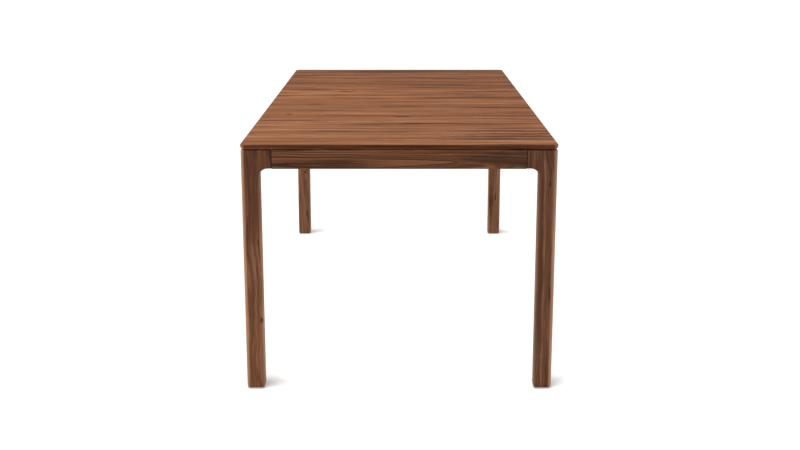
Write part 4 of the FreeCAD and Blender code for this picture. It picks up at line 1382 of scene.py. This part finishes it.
@dataclass
class Studio:
    """The pale floor, the lights and the camera, whose pitch is in degrees below level."""

    table: list[bpy.types.Object]
    floor_reach: float = 60.0
    floor_glow: float = 0.37
    floor_bounce: float = 0.42
    floor_roughness: float = 0.9
    sky_light: float = 0.21
    lens: float = 54.85
    sensor: float = 36.0
    camera_back: float = 4.438
    camera_height: float = 1.3225
    camera_pitch: float = 13.38
    shift_across: float = 0.001
    table_lights: tuple[SoftSun, ...] = (
        SoftSun("key_light", (-0.62, 0.0, 0.785), 50.0, 2.1),
        SoftSun("left_light", (-0.985, -0.02, 0.17), 30.0, 2.0),
        SoftSun("right_light", (0.985, -0.02, 0.17), 30.0, 2.3),
        SoftSun("front_light", (0.1, -0.96, 0.25), 60.0, 0.12),
    )
    floor_light: SoftSun = SoftSun("floor_light", (-0.047, -0.053, 0.99), 7.0, 3.4)

    def build(self) -> None:
        """Set up the room around the table."""
        floor = self.lay_floor()
        self.light_room()
        table = self.gather("lit_table", self.table)
        for light in self.table_lights:
            light.build(table)
        feet = [piece for piece in self.table if piece.name.startswith(("leg_", "foot_"))]
        self.floor_light.build(self.gather("lit_floor", [floor]), self.gather("standing_legs", feet))
        self.set_camera()
        bpy.context.scene.view_settings.view_transform = "Standard"

    @staticmethod
    def gather(name: str, pieces: list[bpy.types.Object]) -> bpy.types.Collection:
        """Put pieces into a collection that lights can name.

        Args:
            name: The collection's name.
            pieces: What goes into it.

        Returns:
            The collection.
        """
        group = bpy.data.collections.new(name)
        for piece in pieces:
            group.objects.link(piece)
        return group

    def lay_floor(self) -> bpy.types.Object:
        """Lay a wide white floor that keeps the shadows of the feet and isn't there from below.

        Returns:
            The floor.
        """
        mesh = bpy.data.meshes.new("studio_floor")
        flat = bmesh.new()
        bmesh.ops.create_grid(flat, x_segments=1, y_segments=1, size=self.floor_reach)
        flat.to_mesh(mesh)
        flat.free()
        floor = bpy.data.objects.new("studio_floor", mesh)
        bpy.context.scene.collection.objects.link(floor)
        mesh.materials.append(self.floor_paint())
        return floor

    def floor_paint(self) -> bpy.types.Material:
        """Make the floor's white, which glows a little to the camera and to reflections.

        Returns:
            The material.
        """
        tree = ShaderTree("white_floor")
        seen = tree.seen()
        grey = (self.floor_bounce, self.floor_bounce, self.floor_bounce, 1.0)
        tree.feed(tree.shader.inputs["Base Color"], tree.blend(seen, grey, WHITE))
        tree.feed(tree.shader.inputs["Roughness"], self.floor_roughness)
        tree.feed(tree.shader.inputs["Specular IOR Level"], 0.0)
        glow = tree.result("ShaderNodeEmission", inputs={"Color": WHITE, "Strength": 1.0})
        share = seen * self.floor_glow
        lit = tree.result("ShaderNodeMixShader", inputs={0: share, 1: tree.surface, 2: glow})
        clear = tree.result("ShaderNodeBsdfTransparent", inputs={"Color": WHITE})
        below = tree.result("ShaderNodeNewGeometry", output="Backfacing")
        sided = tree.result("ShaderNodeMixShader", inputs={0: below, 1: lit, 2: clear})
        tree.feed(tree.output.inputs["Surface"], sided)
        return tree.material

    def light_room(self) -> None:
        """Fill the room with even light; the camera and reflections see it as white."""
        world = bpy.data.worlds.new("studio_room")
        world.use_nodes = True
        bpy.context.scene.world = world
        room = NodeTree(world.node_tree)
        inputs = {"Value": room.seen(), "To Min": self.sky_light, "To Max": 1.0}
        level = room.result("ShaderNodeMapRange", inputs=inputs)
        sky = room.result("ShaderNodeBackground", inputs={"Color": WHITE, "Strength": level})
        room.add("ShaderNodeOutputWorld", inputs={"Surface": sky})

    def set_camera(self) -> None:
        """Stand the camera before the table's short end."""
        camera = bpy.data.cameras.new("studio_camera")
        camera.lens = self.lens
        camera.sensor_width = self.sensor
        camera.shift_x = self.shift_across
        stand = bpy.data.objects.new("studio_camera", camera)
        bpy.context.scene.collection.objects.link(stand)
        stand.location = (0.0, -self.camera_back, self.camera_height)
        stand.rotation_euler = (math.radians(90.0 - self.camera_pitch), 0.0, 0.0)
        bpy.context.scene.camera = stand


def main() -> None:
    """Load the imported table, dress it, and set up the studio round it."""
    logging.basicConfig(level=logging.INFO, format="%(name)s: %(message)s")
    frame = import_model()
    dresser = Dresser(frame["nodes"])
    for assembly in (SlidingTop, LegFrame, SlideDrive, SeamLatches, StoredLeaf, FineFasteners):
        assembly().dress(dresser)
    bare = sorted(set(frame["nodes"]) - set(dresser.dressed))
    if bare:
        raise ValueError(f"no finish was given to {bare}")
    Studio([*frame["nodes"].values(), *dresser.added]).build()
    log.info("%d nodes are dressed", len(dresser.dressed))


if __name__ == "__main__":
    main()
